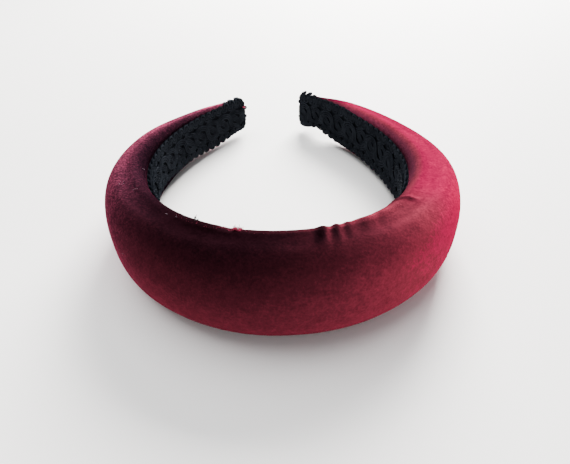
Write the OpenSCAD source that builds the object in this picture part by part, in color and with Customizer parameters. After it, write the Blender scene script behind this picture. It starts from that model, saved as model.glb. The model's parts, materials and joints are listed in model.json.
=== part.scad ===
// Padded headband lying on its side: a velvet pad bent round the head opening, and
// one strip of scroll braid along its inner face that folds over both tips.
// Z is up, the crown is toward -Y and the tips point to +Y. It rests on the lower
// edge of the crown and of the tips, with the middle of its box over the origin.

/* [Hoop] */
// Inner face from the middle of the crown to the end of the right tip
right_len = 190.8; // [180:0.5:196]
// Inner face from the middle of the crown to the end of the left tip
left_len = 191.6; // [180:0.5:196]
// Radius of the inner face at the middle of the crown
crown_r = 54.4; // [52.4:0.2:62]

/* [Pad] */
// Width of the pad at the crown, from its lower to its upper edge
pad_w = 42.2; // [34:0.2:56]
// Thickness of the pad at the crown
pad_t = 24.8; // [12:0.1:28]
// Thickness of the pad at its tips
tip_t = 3; // [2:0.1:6]
// Where the crown is widest, as a share of its thickness from the inner side
crown_waist = 0.27; // [0.2:0.01:0.5]
// Where the tips are widest, as a share of their thickness from the inner side
tip_waist = 0.45; // [0.3:0.01:0.55]
// Roundness of the outer side at the crown: 2 is an ellipse, more is squarer
outer_round = 2.15; // [2:0.05:3.5]
// Roundness of the outer side at the tips
tip_round = 3.5; // [2:0.05:4]
// Roundness of the upper shoulder between the outer side and the braid
upper_round = 2.1; // [1.3:0.05:2.6]
// Roundness of the lower shoulder
lower_round = 1.6; // [1.3:0.05:2.6]
// How far the ends of the pad stay inside the edges of the braid
tip_inset = 1; // [0.4:0.05:1.4]
// Depth of the pinched folds at the upper inner edge of the crown
fold_depth = 1.3; // [0:0.1:2]
// Length of the inner edge that one pinched fold takes
fold_w = 3; // [2.4:0.1:4]

/* [Braid] */
// Width of the braid over its scalloped edges
braid_w = 23.4; // [19:0.2:27]
// Thickness of the braid
braid_t = 1.5; // [1:0.1:2.2]
// How far the braid comes back over the outer side of the right tip
right_fold = 10; // [6:0.5:14]
// How far the braid comes back over the outer side of the left tip
left_fold = 14; // [8:0.5:18]
// How much narrower the braid is at each edge where it is folded back
fold_draw = 2.2; // [0:0.1:3.5]
// Clearance between the braid and the pad
braid_gap = 0.25; // [0.2:0.01:0.4]
// Part of the braid that stands free of the pad's flat inner face, at each edge
free_edge = 1.5; // [0.8:0.1:2.5]
// Length of one scallop along the edge
scallop = 5; // [4:0.05:6]
// Depth of the notch between two scallops
notch = 0.7; // [0.2:0.05:1.2]
// Width of the ribbed border along each edge
border_w = 4.6; // [3:0.1:6]
// Radius of the corners of the tips
tip_corner = 5.5; // [3:0.1:7]
// How far the lower edge near the right tip is drawn up at most
right_draw = 4.7; // [0:0.1:6]
// How far the lower edge of the left arm is drawn up at most
left_draw = 2.6; // [0:0.1:4]
// How far the upper edge of the right arm is let out at most
right_rise = 2; // [0:0.1:2.5]
// Length of the stretch before each tip along which the edges are drawn in and let out
draw_len = 120; // [100:1:150]

/* [Hidden] */

// Each row is one section of a half: its share of the way from the crown to the tip,
// its width and thickness as shares of the way from the tip's to the crown's, and
// its bend as a share of the bend at the crown
RIGHT = [
    [0.0, 1.00, 1.00, 1.00],
    [0.2, 0.90, 0.99, 0.93],
    [0.4, 0.73, 0.85, 0.89],
    [0.6, 0.49, 0.48, 0.57],
    [0.8, 0.30, 0.27, 0.30],
    [1.0, 0.00, 0.00, 0.14],
];
LEFT = [
    [0.0, 1.00, 1.00, 1.00],
    [0.2, 0.94, 0.95, 0.84],
    [0.4, 0.77, 0.74, 0.84],
    [0.6, 0.55, 0.43, 0.72],
    [0.8, 0.16, 0.27, 0.39],
    [1.0, 0.00, 0.00, 0.34],
];
WIDTH = 1;
THICKNESS = 2;
BEND = 3;

// Each row is one pinched fold right of the crown: its place, in widths of a fold
// from the middle of the crown, and its depth as a share of the deepest
FOLDS = [
    [2.4, 0.4],
    [4.0, 1.0],
    [5.0, 0.9],
    [5.9, 0.4],
];

// Each row is a place before a tip, as a share of the drawn stretch, and how far the
// lower edge is drawn up there, as a share of the most, or let down where it is less than 0
RIGHT_LOW = [[0, 0.28], [0.06, 0.35], [0.11, 0.83], [0.16, 1], [0.19, 0.66], [0.27, 0.28],
    [0.45, 0.06], [0.6, -0.32], [0.7, -0.46], [0.8, -0.4], [1, 0]];
LEFT_LOW = [[0, 0.85], [0.06, 0.85], [0.14, 0.25], [0.23, -0.35], [0.3, -0.1], [0.4, 0.25],
    [0.55, 0.45], [0.65, 0.95], [0.8, 1], [1, 0]];

// The same for how far the upper edge of the right arm is let out
RIGHT_HIGH = [[0, 0.3], [0.2, 1], [0.33, 1], [0.42, 0.4], [0.6, 0.2], [1, 0]];

// Front of the braid from its edge to its middle: each row is a share of the way
// from the edge to the middle in widths of the border, and of the thickness
RELIEF = [
    [0.0, 0.55],
    [0.4, 1.00],
    [1.0, 0.60],
    [1.3, 1.00],
];

// Fineness: steps along each half of the path, stations along the plain stretches,
// before each tip and along the folds, points round the outer side and each
// shoulder, and steps along one scallop and round a tip
path_steps = 240;
half_stations = 24;
tip_stations = 8;
fold_stations = 18;
outer_steps = 15;
shoulder_steps = 5;
scallop_steps = 4;
turn_steps = 6;

// Length of the stretch before each tip with closer stations
tip_stretch = 24;

// Length of the stretch before each tip along which the pad follows the braid's edge
// in full; along as much again it follows less and less
pad_draw_len = 24;

// The ends of the pad: stations at these shares of the rounded stretch
END_STEPS = [1, 0.6, 0.35, 0.15, 0.03];

// The lean at which it rests is looked for in this range, which is halved so many times
LEAN_RANGE = [-5, 20];
lean_steps = 14;

seat_n = braid_t + braid_gap;
tip_w = braid_w - 2 * tip_inset;
seat_half = braid_w / 2 - free_edge;
tip_half_t = tip_t / 2;
turn_r = tip_half_t + braid_gap + braid_t / 2;
turn_outer_r = turn_r + braid_t / 2;
end_len = tip_corner - seat_n;

// Smooth curve through one column of a table, flat at the first and the last row and
// free of overshoot between rows
function rise(table, col, i) =
    (table[i + 1][col] - table[i][col]) / (table[i + 1][0] - table[i][0]);
function tangent(table, col, i) =
    i == 0 || i == len(table) - 1 ? 0 :
    let (a = rise(table, col, i - 1), b = rise(table, col, i))
    a * b <= 0 ? 0 : 2 * a * b / (a + b);
function row_before(table, u, i = 0) =
    i >= len(table) - 2 || u <= table[i + 1][0] ? i : row_before(table, u, i + 1);
function along(table, col, u) =
    let (i = row_before(table, u),
         h = table[i + 1][0] - table[i][0],
         t = (u - table[i][0]) / h,
         a = tangent(table, col, i) * h,
         b = tangent(table, col, i + 1) * h)
    table[i][col] * (2 * t^3 - 3 * t^2 + 1) + a * (t^3 - 2 * t^2 + t)
    + table[i + 1][col] * (3 * t^2 - 2 * t^3) + b * (t^3 - t^2);

// Plan of one half of the inner face: x, y and heading at each step
function walk(table, length) =
    let (ds = length / path_steps)
    [for (i = 0, x = 0, y = 0, heading = 0;
          i <= path_steps;
          turn = along(table, BEND, (i + 0.5) / path_steps) * ds / crown_r * 180 / PI,
          x = x + ds * cos(heading + turn / 2),
          y = y + ds * sin(heading + turn / 2),
          heading = heading + turn,
          i = i + 1)
        [x, y, heading]];
right_path = walk(RIGHT, right_len);
left_path = walk(LEFT, left_len);

// Place on the inner face at distance d from the crown, right positive:
// x, y and the heading, which is turned left or right
function half_len(d) = d < 0 ? left_len : right_len;
function place(d) =
    let (side = d < 0 ? -1 : 1,
         path = d < 0 ? left_path : right_path,
         k = min(abs(d) / half_len(d), 1) * path_steps,
         i = min(floor(k), path_steps - 1),
         p = path[i] + (k - i) * (path[i + 1] - path[i]))
    [side * p[0], p[1], side * p[2]];
function outward(frame) = [sin(frame[2]), -cos(frame[2])];
function at(frame, n, z) =
    let (out = outward(frame)) [frame[0] + n * out[0], frame[1] + n * out[1], z];

// Closed skin over rings with the same number of points, with flat ends. Rings run
// from left to right, and a ring's points run from its top over the outside
module skin(rings) {
    m = len(rings[0]);
    n = len(rings);
    quads = [for (j = [0:n - 2], i = [0:m - 1])
        let (k = (i + 1) % m)
        each [[j * m + i, (j + 1) * m + k, j * m + k],
              [j * m + i, (j + 1) * m + i, (j + 1) * m + k]]];
    first = [for (i = [0:m - 1]) i];
    last = [for (i = [m - 1:-1:0]) (n - 1) * m + i];
    polyhedron(points = [for (r = rings, p = r) p], faces = concat([first], quads, [last]),
               convexity = 8);
}

// The pad
function share(d) = abs(d) / half_len(d);
function half_at(col, d) = along(d < 0 ? LEFT : RIGHT, col, share(d));
function pad_width(d) = tip_w + (pad_w - tip_w) * half_at(WIDTH, d);
function pad_thick(d) = tip_t + (pad_t - tip_t) * half_at(THICKNESS, d);
function mix(a, b, d) = a + (b - a) * share(d);

// How far the braid's lower edge is drawn up, and its upper edge is let out, at distance
// e before the end of a tip, on the side of distance d
function low_draw(d, e) =
    d < 0 ? left_draw * lookup(e / draw_len, LEFT_LOW)
    : right_draw * lookup(e / draw_len, RIGHT_LOW);
function high_rise(d, e) = d < 0 ? 0 : right_rise * lookup(e / draw_len, RIGHT_HIGH);

// Share of the lower edge's draw that the pad follows at distance e before its end
function drawn(e) = min(max(2 - e / pad_draw_len, 0), 1);

// What a round end of radius r takes off at distance e before the end
function round_off(r, e) = e >= r ? 0 : r - sqrt(r^2 - (r - e)^2);
function pad_end(d) = half_len(d) - seat_n - abs(d);

// Depth of the pinched folds at distance d
function fold_at(d) =
    let (cuts = [for (f = FOLDS)
        let (x = (d / fold_w - f[0]) * 180)
        abs(x) >= 90 ? 0 : f[1] * cos(x)^2])
    fold_depth * max(cuts);

// Quarter of a rounded shoulder: a runs from 0 at the wide end to 90 at the other
function arc_z(a, e) = abs(cos(a))^(2 / e) * sign(cos(a));
function arc_n(a, e) = abs(sin(a))^(2 / e);

// One section of the pad, as offsets outward and up, from its top over the outside,
// along the lower shoulder, over the flat seat and back up the upper shoulder
function pad_section(d) =
    let (cut_z = round_off(end_len, pad_end(d)),
         cut_n = round_off(tip_half_t, pad_end(d)),
         to_end = half_len(d) - abs(d),
         low = max(low_draw(d, to_end), 0) * drawn(to_end),
         half_w = pad_width(d) / 2 - cut_z,
         seat = seat_half - cut_z,
         thick = pad_thick(d) - 2 * cut_n,
         waist = mix(crown_waist, tip_waist, d) * thick,
         e = mix(outer_round, tip_round, d),
         pinch = fold_at(d))
    [
        for (i = [0:outer_steps])
            let (a = i * 180 / outer_steps,
                 dip = pinch * max(cos(a), 0)^2)
            [seat_n + cut_n + waist + (thick - waist) * arc_n(a, e),
             (half_w - (a < 90 ? 0 : low)) * arc_z(a, e) - dip],
        for (i = [1:shoulder_steps])
            let (a = i * 90 / shoulder_steps)
            [seat_n + cut_n + waist * (1 - arc_n(a, lower_round)),
             low - seat - (half_w - seat) * arc_z(a, lower_round)],
        for (i = [shoulder_steps:-1:1])
            let (a = i * 90 / shoulder_steps,
                 dip = pinch * cos(a)^2)
            [seat_n + cut_n + waist * (1 - arc_n(a, upper_round)),
             seat + (half_w - seat) * arc_z(a, upper_round) - dip],
    ];

// Stations of the pad from the left end to the right end, closer along the folds and
// toward the tips: those of one half run from one place to the start of its end
function stations(from, stop) = concat(
    [for (i = [1:half_stations]) from + (stop - tip_stretch - from) * i / half_stations],
    [for (i = [1:tip_stations - 1]) stop - tip_stretch * (1 - i / tip_stations)]
);
fold_from = (FOLDS[0][0] - 0.5) * fold_w;
fold_to = (FOLDS[len(FOLDS) - 1][0] + 0.5) * fold_w;
left_stations = stations(0, left_len - seat_n - end_len);
pad_stations = concat(
    [for (k = [len(END_STEPS) - 1:-1:0]) -left_len + seat_n + END_STEPS[k] * end_len],
    [for (i = [len(left_stations) - 1:-1:0]) -left_stations[i]],
    [0],
    [for (i = [0:fold_stations]) fold_from + (fold_to - fold_from) * i / fold_stations],
    stations(fold_to, right_len - seat_n - end_len),
    [for (k = [0:len(END_STEPS) - 1]) right_len - seat_n - END_STEPS[k] * end_len]
);
pad_rings = [for (d = pad_stations) let (f = place(d)) [for (p = pad_section(d)) at(f, p[0], p[1])]];

// The braid: its length runs along the inner face, round the end of the tip and
// back over the outer side of the pad
function flat_len(side) = half_len(side) - turn_outer_r;
function fold_len(side) = side < 0 ? left_fold : right_fold;

// Frame of the braid's middle plane at distance s along it from the crown: a point
// of the plan, the way its front faces, and how far the point is from the tip's end
function strip_frame(s) =
    let (side = s < 0 ? -1 : 1,
         flat = flat_len(side),
         past = abs(s) - flat,
         turned = past / turn_r * 180 / PI)
    past <= 0 ? strip_inside(s, half_len(side) - abs(s)) :
    turned < 180 ? strip_turn(side * flat, turned) :
    strip_outside(side * (flat - (past - turn_r * PI)), turn_outer_r + past - turn_r * PI);
function strip_inside(d, e) =
    let (f = place(d), out = outward(f)) [at(f, braid_t / 2, 0), -out, e];
function strip_turn(d, a) =
    let (f = place(d),
         side = d < 0 ? -1 : 1,
         out = outward(f),
         ahead = side * [cos(f[2]), sin(f[2])],
         face = -out * cos(a) + ahead * sin(a),
         mid = at(f, seat_n + tip_half_t, 0))
    [mid + turn_r * [face[0], face[1], 0], face, turn_outer_r * (1 - sin(a))];
function strip_outside(d, e) =
    let (f = place(d), out = outward(f))
    [at(f, seat_n + pad_thick(d) + braid_gap + braid_t / 2, 0), out, e];

// One section of the braid at distance s: the flat back first, then the front
function folded(s) =
    let (t = min(max((abs(s) - flat_len(s)) / (turn_r * PI), 0), 1)) 3 * t^2 - 2 * t^3;
function strip_half(s, e) =
    braid_w / 2 - notch * (1 - abs(sin(180 * s / scallop))) - round_off(tip_corner, e)
    - fold_draw * folded(s);
function strip_ring(s) =
    let (f = strip_frame(s),
         half = strip_half(s, f[2]),
         bottom = half - low_draw(s, f[2]),
         top = half + high_rise(s, f[2]),
         back = -braid_t / 2,
         low = [for (r = RELIEF) [r[0] * border_w - bottom, back + r[1] * braid_t]],
         high = [for (i = [len(RELIEF) - 1:-1:0]) let (r = RELIEF[i])
             [top - r[0] * border_w, back + r[1] * braid_t]],
         section = concat([[top, back], [-bottom, back]], low, high))
    [for (p = section) [f[0][0] + p[1] * f[1][0], f[0][1] + p[1] * f[1][1], p[0]]];

// Stations of the braid from its left end to its right end. They keep the beat of
// the scallops along the inner face, and steps of their own round each tip
beat = scallop / scallop_steps;
function inside_steps(side) = floor((flat_len(side) - tip_corner) / beat);
function tip_beats(side) =
    let (from = inside_steps(side) * beat, to = flat_len(side), turn = turn_r * PI,
         near = ceil((to - from) / beat), far = ceil(fold_len(side) / beat))
    concat(
        [for (i = [1:near]) from + (to - from) * i / near],
        [for (i = [1:turn_steps]) to + turn * i / turn_steps],
        [for (i = [1:far]) to + turn + fold_len(side) * i / far]
    );
left_tip = tip_beats(-1);
strip_stations = concat(
    [for (i = [len(left_tip) - 1:-1:0]) -left_tip[i]],
    [for (i = [-inside_steps(-1):inside_steps(1)]) i * beat],
    tip_beats(1)
);
strip_rings = [for (s = strip_stations) strip_ring(s)];

// How it lies: turned about X until its lower edge touches the ground on both sides
// of its weight, which the pad's stations give
pieces = [for (i = [1:len(pad_stations) - 1]) [pad_stations[i - 1], pad_stations[i]]];
weights = [for (c = pieces)
    let (d = (c[0] + c[1]) / 2) pad_width(d) * pad_thick(d) * (c[1] - c[0])];
places_y = [for (c = pieces)
    let (d = (c[0] + c[1]) / 2) at(place(d), seat_n + pad_thick(d) / 2, 0)[1]];
balance_y = weights * places_y / (weights * [for (w = weights) 1]);
all_points = [for (r = concat(pad_rings, strip_rings), p = r) p];
tip_points = [for (p = all_points) if (p[1] > balance_y) p];
crown_points = [for (p = all_points) if (p[1] <= balance_y) p];
function height(p, a) = p[2] * cos(a) - p[1] * sin(a);
function reach(p, a) = p[1] * cos(a) + p[2] * sin(a);
function lowest(points, a) = min([for (p = points) height(p, a)]);
function level(lo, hi, n) =
    let (a = (lo + hi) / 2)
    n == 0 ? a :
    lowest(tip_points, a) > lowest(crown_points, a) ? level(a, hi, n - 1) : level(lo, a, n - 1);
lean = level(LEAN_RANGE[0], LEAN_RANGE[1], lean_steps);
ground = lowest(all_points, lean);
side_x = [for (p = all_points) p[0]];
side_y = [for (p = all_points) reach(p, lean)];
mid_x = (min(side_x) + max(side_x)) / 2;
mid_y = (min(side_y) + max(side_y)) / 2;
function lay(p) = [p[0] - mid_x, reach(p, lean) - mid_y, height(p, lean) - ground];

module padded_band() {
    color("#6d1026") skin([for (r = pad_rings) [for (p = r) lay(p)]]);
}

module braid_lining() {
    color("#17171a") skin([for (r = strip_rings) [for (p = r) lay(p)]]);
}

padded_band();
braid_lining();
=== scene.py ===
"""Looks of a padded velvet headband that lies on its side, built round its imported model.

Lengths are millimetres in the band's own plan: its middle plane is z = 0, the middle of
the crown's inner face is the origin, and both arms reach toward +Y. Resting.lay turns
such points into metres where the band rests. A place on the band is a distance d from
the crown along the inner face, right positive, an offset n outward from that face and a
height z.
"""
import json
import logging
import math
from dataclasses import dataclass, field
from enum import Enum

import bpy
import numpy as np
from mathutils import Matrix

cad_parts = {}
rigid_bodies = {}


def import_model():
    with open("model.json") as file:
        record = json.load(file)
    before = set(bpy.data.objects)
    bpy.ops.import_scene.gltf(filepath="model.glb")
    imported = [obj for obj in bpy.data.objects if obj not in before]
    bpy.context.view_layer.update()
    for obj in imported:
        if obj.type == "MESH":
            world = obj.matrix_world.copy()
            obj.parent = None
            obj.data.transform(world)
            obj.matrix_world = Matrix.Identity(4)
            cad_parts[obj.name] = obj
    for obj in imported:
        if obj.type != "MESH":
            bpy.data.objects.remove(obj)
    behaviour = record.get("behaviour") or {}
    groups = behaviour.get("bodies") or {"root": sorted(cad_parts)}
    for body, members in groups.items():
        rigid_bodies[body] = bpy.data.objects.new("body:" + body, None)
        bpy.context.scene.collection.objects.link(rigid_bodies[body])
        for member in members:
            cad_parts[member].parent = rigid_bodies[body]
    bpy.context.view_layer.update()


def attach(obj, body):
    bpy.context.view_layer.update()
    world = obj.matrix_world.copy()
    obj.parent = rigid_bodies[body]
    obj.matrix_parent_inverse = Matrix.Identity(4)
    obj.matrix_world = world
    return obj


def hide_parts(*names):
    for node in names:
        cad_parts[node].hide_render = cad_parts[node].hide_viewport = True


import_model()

MM = 0.001
TINY = 1e-9
BODY = "root"
log = logging.getLogger("headband")


# The band's plan
class Column(Enum):
    """What a row of a section table holds after its share of the way to the tip."""

    WIDTH = 1
    THICKNESS = 2
    BEND = 3


@dataclass(frozen=True)
class Resting:
    """How the plan's points lie on the floor."""

    lean_deg: float = 2.89719
    mid_x: float = -0.204283
    mid_y: float = 61.4844
    ground: float = -20.7648

    def lay(self, points: np.ndarray) -> np.ndarray:
        """Turns points of the plan in millimetres to resting points in metres.

        Args:
            points: rows of x, y and z in the plan.

        Returns:
            The same points where the band rests.
        """
        a = math.radians(self.lean_deg)
        x, y, z = points[..., 0], points[..., 1], points[..., 2]
        return MM * np.stack([
            x - self.mid_x,
            y * math.cos(a) + z * math.sin(a) - self.mid_y,
            z * math.cos(a) - y * math.sin(a) - self.ground,
        ], axis=-1)


@dataclass(frozen=True)
class HoopPlan:
    """The inner face of the band, seen from above, and the tables of its sections.

    A row of right or left holds the share of the way to the tip, and the shares of width,
    thickness and bend there. A row of the other tables holds a place before the tip, as a
    share of draw_len, and how far the edge is drawn up or let out there.
    """

    right_len: float = 190.8
    left_len: float = 191.6
    crown_r: float = 54.4
    right_draw: float = 4.7
    left_draw: float = 2.6
    right_rise: float = 2.0
    draw_len: float = 120.0
    pad_draw_len: float = 24.0
    steps: int = 240
    right: tuple = (
        (0.0, 1.00, 1.00, 1.00),
        (0.2, 0.90, 0.99, 0.93),
        (0.4, 0.73, 0.85, 0.89),
        (0.6, 0.49, 0.48, 0.57),
        (0.8, 0.30, 0.27, 0.30),
        (1.0, 0.00, 0.00, 0.14),
    )
    left: tuple = (
        (0.0, 1.00, 1.00, 1.00),
        (0.2, 0.94, 0.95, 0.84),
        (0.4, 0.77, 0.74, 0.84),
        (0.6, 0.55, 0.43, 0.72),
        (0.8, 0.16, 0.27, 0.39),
        (1.0, 0.00, 0.00, 0.34),
    )
    right_low: tuple = ((0, 0.28), (0.06, 0.35), (0.11, 0.83), (0.16, 1), (0.19, 0.66),
                        (0.27, 0.28), (0.45, 0.06), (0.6, -0.32), (0.7, -0.46), (0.8, -0.4),
                        (1, 0))
    left_low: tuple = ((0, 0.85), (0.06, 0.85), (0.14, 0.25), (0.23, -0.35), (0.3, -0.1),
                       (0.4, 0.25), (0.55, 0.45), (0.65, 0.95), (0.8, 1), (1, 0))
    right_high: tuple = ((0, 0.3), (0.2, 1), (0.33, 1), (0.42, 0.4), (0.6, 0.2), (1, 0))

    def table_curve(self, table: tuple, column: Column, u: np.ndarray) -> np.ndarray:
        """Smooth curve through one column of a table, flat at both ends.

        Args:
            table: the rows of one arm.
            column: which column to follow.
            u: shares of the way from the crown to the tip.

        Returns:
            The column's value at each share.
        """
        rows = np.array(table)
        x, y = rows[:, 0], rows[:, column.value]
        rise = np.diff(y) / np.diff(x)
        tangent = np.zeros(len(x))
        for i in range(1, len(x) - 1):
            a, b = rise[i - 1], rise[i]
            tangent[i] = 0 if a * b <= 0 else 2 * a * b / (a + b)
        i = np.clip(np.searchsorted(x, u, side="left") - 1, 0, len(x) - 2)
        h = x[i + 1] - x[i]
        t = (u - x[i]) / h
        return (y[i] * (2 * t**3 - 3 * t**2 + 1) + tangent[i] * h * (t**3 - 2 * t**2 + t)
                + y[i + 1] * (3 * t**2 - 2 * t**3) + tangent[i + 1] * h * (t**3 - t**2))

    def half_len(self, d: np.ndarray) -> np.ndarray:
        """Length of the arm that each distance is on."""
        return np.where(np.asarray(d) < 0, self.left_len, self.right_len)

    def low_draw(self, d: np.ndarray, to_end: np.ndarray) -> np.ndarray:
        """How far the braid's lower edge is drawn up at distances before the end of a tip.

        Args:
            d: distances from the crown, whose sign tells the arm.
            to_end: distances before the end of the tip.

        Returns:
            Millimetres that the edge is drawn up, negative where it is let out.
        """
        u = np.asarray(to_end, float) / self.draw_len
        left = self.left_draw * np.interp(u, *np.array(self.left_low).T)
        right = self.right_draw * np.interp(u, *np.array(self.right_low).T)
        return np.where(np.asarray(d) < 0, left, right)

    def high_rise(self, d: np.ndarray, to_end: np.ndarray) -> np.ndarray:
        """How far the braid's upper edge is let out at distances before the end of a tip.

        Args:
            d: distances from the crown, whose sign tells the arm.
            to_end: distances before the end of the tip.

        Returns:
            Millimetres that the edge is let out.
        """
        u = np.asarray(to_end, float) / self.draw_len
        rise = self.right_rise * np.interp(u, *np.array(self.right_high).T)
        return np.where(np.asarray(d) < 0, 0.0, rise)

    def pad_draw(self, d: np.ndarray, to_end: np.ndarray) -> np.ndarray:
        """How far the pad's lower edge follows the braid's near the end of a tip."""
        share = np.clip(2 - np.asarray(to_end, float) / self.pad_draw_len, 0, 1)
        return np.maximum(self.low_draw(d, to_end), 0) * share

    def share(self, d: np.ndarray) -> np.ndarray:
        """Share of the way from the crown to the tip at each distance."""
        return np.minimum(np.abs(d) / self.half_len(d), 1.0)

    def column(self, column: Column, d: np.ndarray) -> np.ndarray:
        """Value of a table's column at each distance from the crown."""
        u = self.share(d)
        return np.where(np.asarray(d) < 0, self.table_curve(self.left, column, u),
                        self.table_curve(self.right, column, u))

    def walk(self, table: tuple, length: float) -> np.ndarray:
        """Plan of one arm as rows of x, y and heading, one for each step.

        Args:
            table: the rows of the arm.
            length: the arm's length.

        Returns:
            A row for the crown, then one for the end of each step.
        """
        ds = length / self.steps
        u = (np.arange(self.steps) + 0.5) / self.steps
        turn = self.table_curve(table, Column.BEND, u) * ds / self.crown_r
        heading = np.concatenate([[0.0], np.cumsum(turn)])
        middle = heading[:-1] + turn / 2
        x = np.concatenate([[0.0], np.cumsum(ds * np.cos(middle))])
        y = np.concatenate([[0.0], np.cumsum(ds * np.sin(middle))])
        return np.stack([x, y, heading], axis=1)

    def place(self, d: np.ndarray) -> tuple[np.ndarray, np.ndarray, np.ndarray]:
        """Finds x, y and heading on the inner face at distances from the crown.

        Args:
            d: distances from the crown, right positive.

        Returns:
            x, y and heading, each with one number for each distance.
        """
        d = np.asarray(d, float)
        left, right = self.walk(self.left, self.left_len), self.walk(self.right, self.right_len)
        at_left = np.linspace(0, self.left_len, self.steps + 1)
        at_right = np.linspace(0, self.right_len, self.steps + 1)
        side = np.where(d < 0, -1.0, 1.0)
        x, y, heading = (np.where(d < 0, np.interp(np.abs(d), at_left, left[:, k]),
                                  np.interp(np.abs(d), at_right, right[:, k]))
                         for k in range(3))
        return side * x, y, side * heading

    def at(self, d: np.ndarray, n: np.ndarray, z: np.ndarray) -> np.ndarray:
        """Points of the plan at distances d, offsets n outward and heights z."""
        x, y, heading = self.place(d)
        return np.stack(np.broadcast_arrays(x + n * np.sin(heading), y - n * np.cos(heading), z),
                        axis=-1)


def smooth(x: np.ndarray, low: float, high: float) -> np.ndarray:
    """Smooth step from 0 at low to 1 at high."""
    t = np.clip((np.asarray(x, float) - low) / (high - low), 0, 1)
    return t * t * (3 - 2 * t)


def hump(x: np.ndarray, middle: float, reach: float) -> np.ndarray:
    """Smooth bump of height 1 at middle that is gone at reach from it."""
    return 1 - smooth(np.abs(np.asarray(x, float) - middle), 0, reach)


def round_off(radius: float, e: np.ndarray) -> np.ndarray:
    """What a round end of a radius takes off at distance e before the end."""
    inside = np.clip(radius - np.asarray(e, float), 0, radius)
    return radius - np.sqrt(radius**2 - inside**2)


@dataclass(frozen=True)
class Tone:
    """A share of something over the cover, times smooth steps along and around the band.

    Each step is a pair of places: where it is 0 and where it is 1. Places along are
    millimetres from the crown, right positive. Places around are degrees of turn: 0 at the
    upper edge, 90 outermost and 180 at the lower edge, past these on the shoulders. With a
    lean, the places along move with the turn, up to the turn lean_end.
    """

    share: float = 1.0
    along: tuple = ()
    around: tuple = ()
    lean: float = 0.0
    lean_end: float = 48.0

    def at(self, d: np.ndarray, turn: np.ndarray) -> np.ndarray:
        """The share at distances d and turns.

        Args:
            d: distances from the crown.
            turn: degrees round the section, one for each distance.

        Returns:
            One share for each place.
        """
        moved = d - self.lean * np.minimum(turn, self.lean_end)
        value = np.full(np.shape(moved), self.share)
        for start, end in self.along:
            value = value * smooth(moved, start, end)
        for start, end in self.around:
            value = value * smooth(turn, start, end)
        return value


# Meshes and node trees
def grid_mesh(name: str, points: np.ndarray, closed_ends: bool = True) -> bpy.types.Mesh:
    """Skin over rings of points that run from left to right.

    Args:
        name: name of the mesh.
        points: rings x points x 3, each ring closed, in metres.
        closed_ends: whether both ends get a fan of faces.

    Returns:
        The mesh, with faces outward for rings that run from the top over the outside.
    """
    rings, count = points.shape[:2]
    i = np.arange(count)
    faces = []
    for j in range(rings - 1):
        a, b = j * count + i, j * count + (i + 1) % count
        faces.extend(np.stack([a, a + count, b + count, b], axis=1).tolist())
    verts = points.reshape(-1, 3)
    if closed_ends:
        ends = np.stack([points[0].mean(0), points[-1].mean(0)])
        last = (rings - 1) * count
        first_pole, last_pole = len(verts), len(verts) + 1
        verts = np.concatenate([verts, ends])
        for k in range(count):
            m = (k + 1) % count
            faces.append([first_pole, k, m])
            faces.append([last_pole, last + m, last + k])
    mesh = bpy.data.meshes.new(name)
    mesh.from_pydata(verts.tolist(), [], faces)
    mesh.polygons.foreach_set("use_smooth", [True] * len(mesh.polygons))
    mesh.update()
    return mesh


def show(name: str, mesh: bpy.types.Mesh) -> bpy.types.Object:
    """Makes an object of a mesh, at the origin, and links it into the scene.

    Args:
        name: the object's name.
        mesh: its mesh.

    Returns:
        The object.
    """
    piece = bpy.data.objects.new(name, mesh)
    bpy.context.scene.collection.objects.link(piece)
    return piece


def point_floats(mesh: bpy.types.Mesh, name: str, values: np.ndarray) -> None:
    """Stores one number for each vertex under a name."""
    attribute = mesh.attributes.new(name, "FLOAT", "POINT")
    attribute.data.foreach_set("value", np.asarray(values, np.float32).ravel())


def coordinates(mesh: bpy.types.Mesh) -> np.ndarray:
    """The mesh's vertices as rows of x, y and z.

    Args:
        mesh: the mesh to read.

    Returns:
        One row for each vertex.
    """
    flat = np.zeros(len(mesh.vertices) * 3)
    mesh.vertices.foreach_get("co", flat)
    return flat.reshape(-1, 3)


def move_to(mesh: bpy.types.Mesh, points: np.ndarray) -> None:
    """Puts the mesh's vertices at the given points."""
    mesh.vertices.foreach_set("co", np.ascontiguousarray(points, np.float64).ravel())
    mesh.update()


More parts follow.
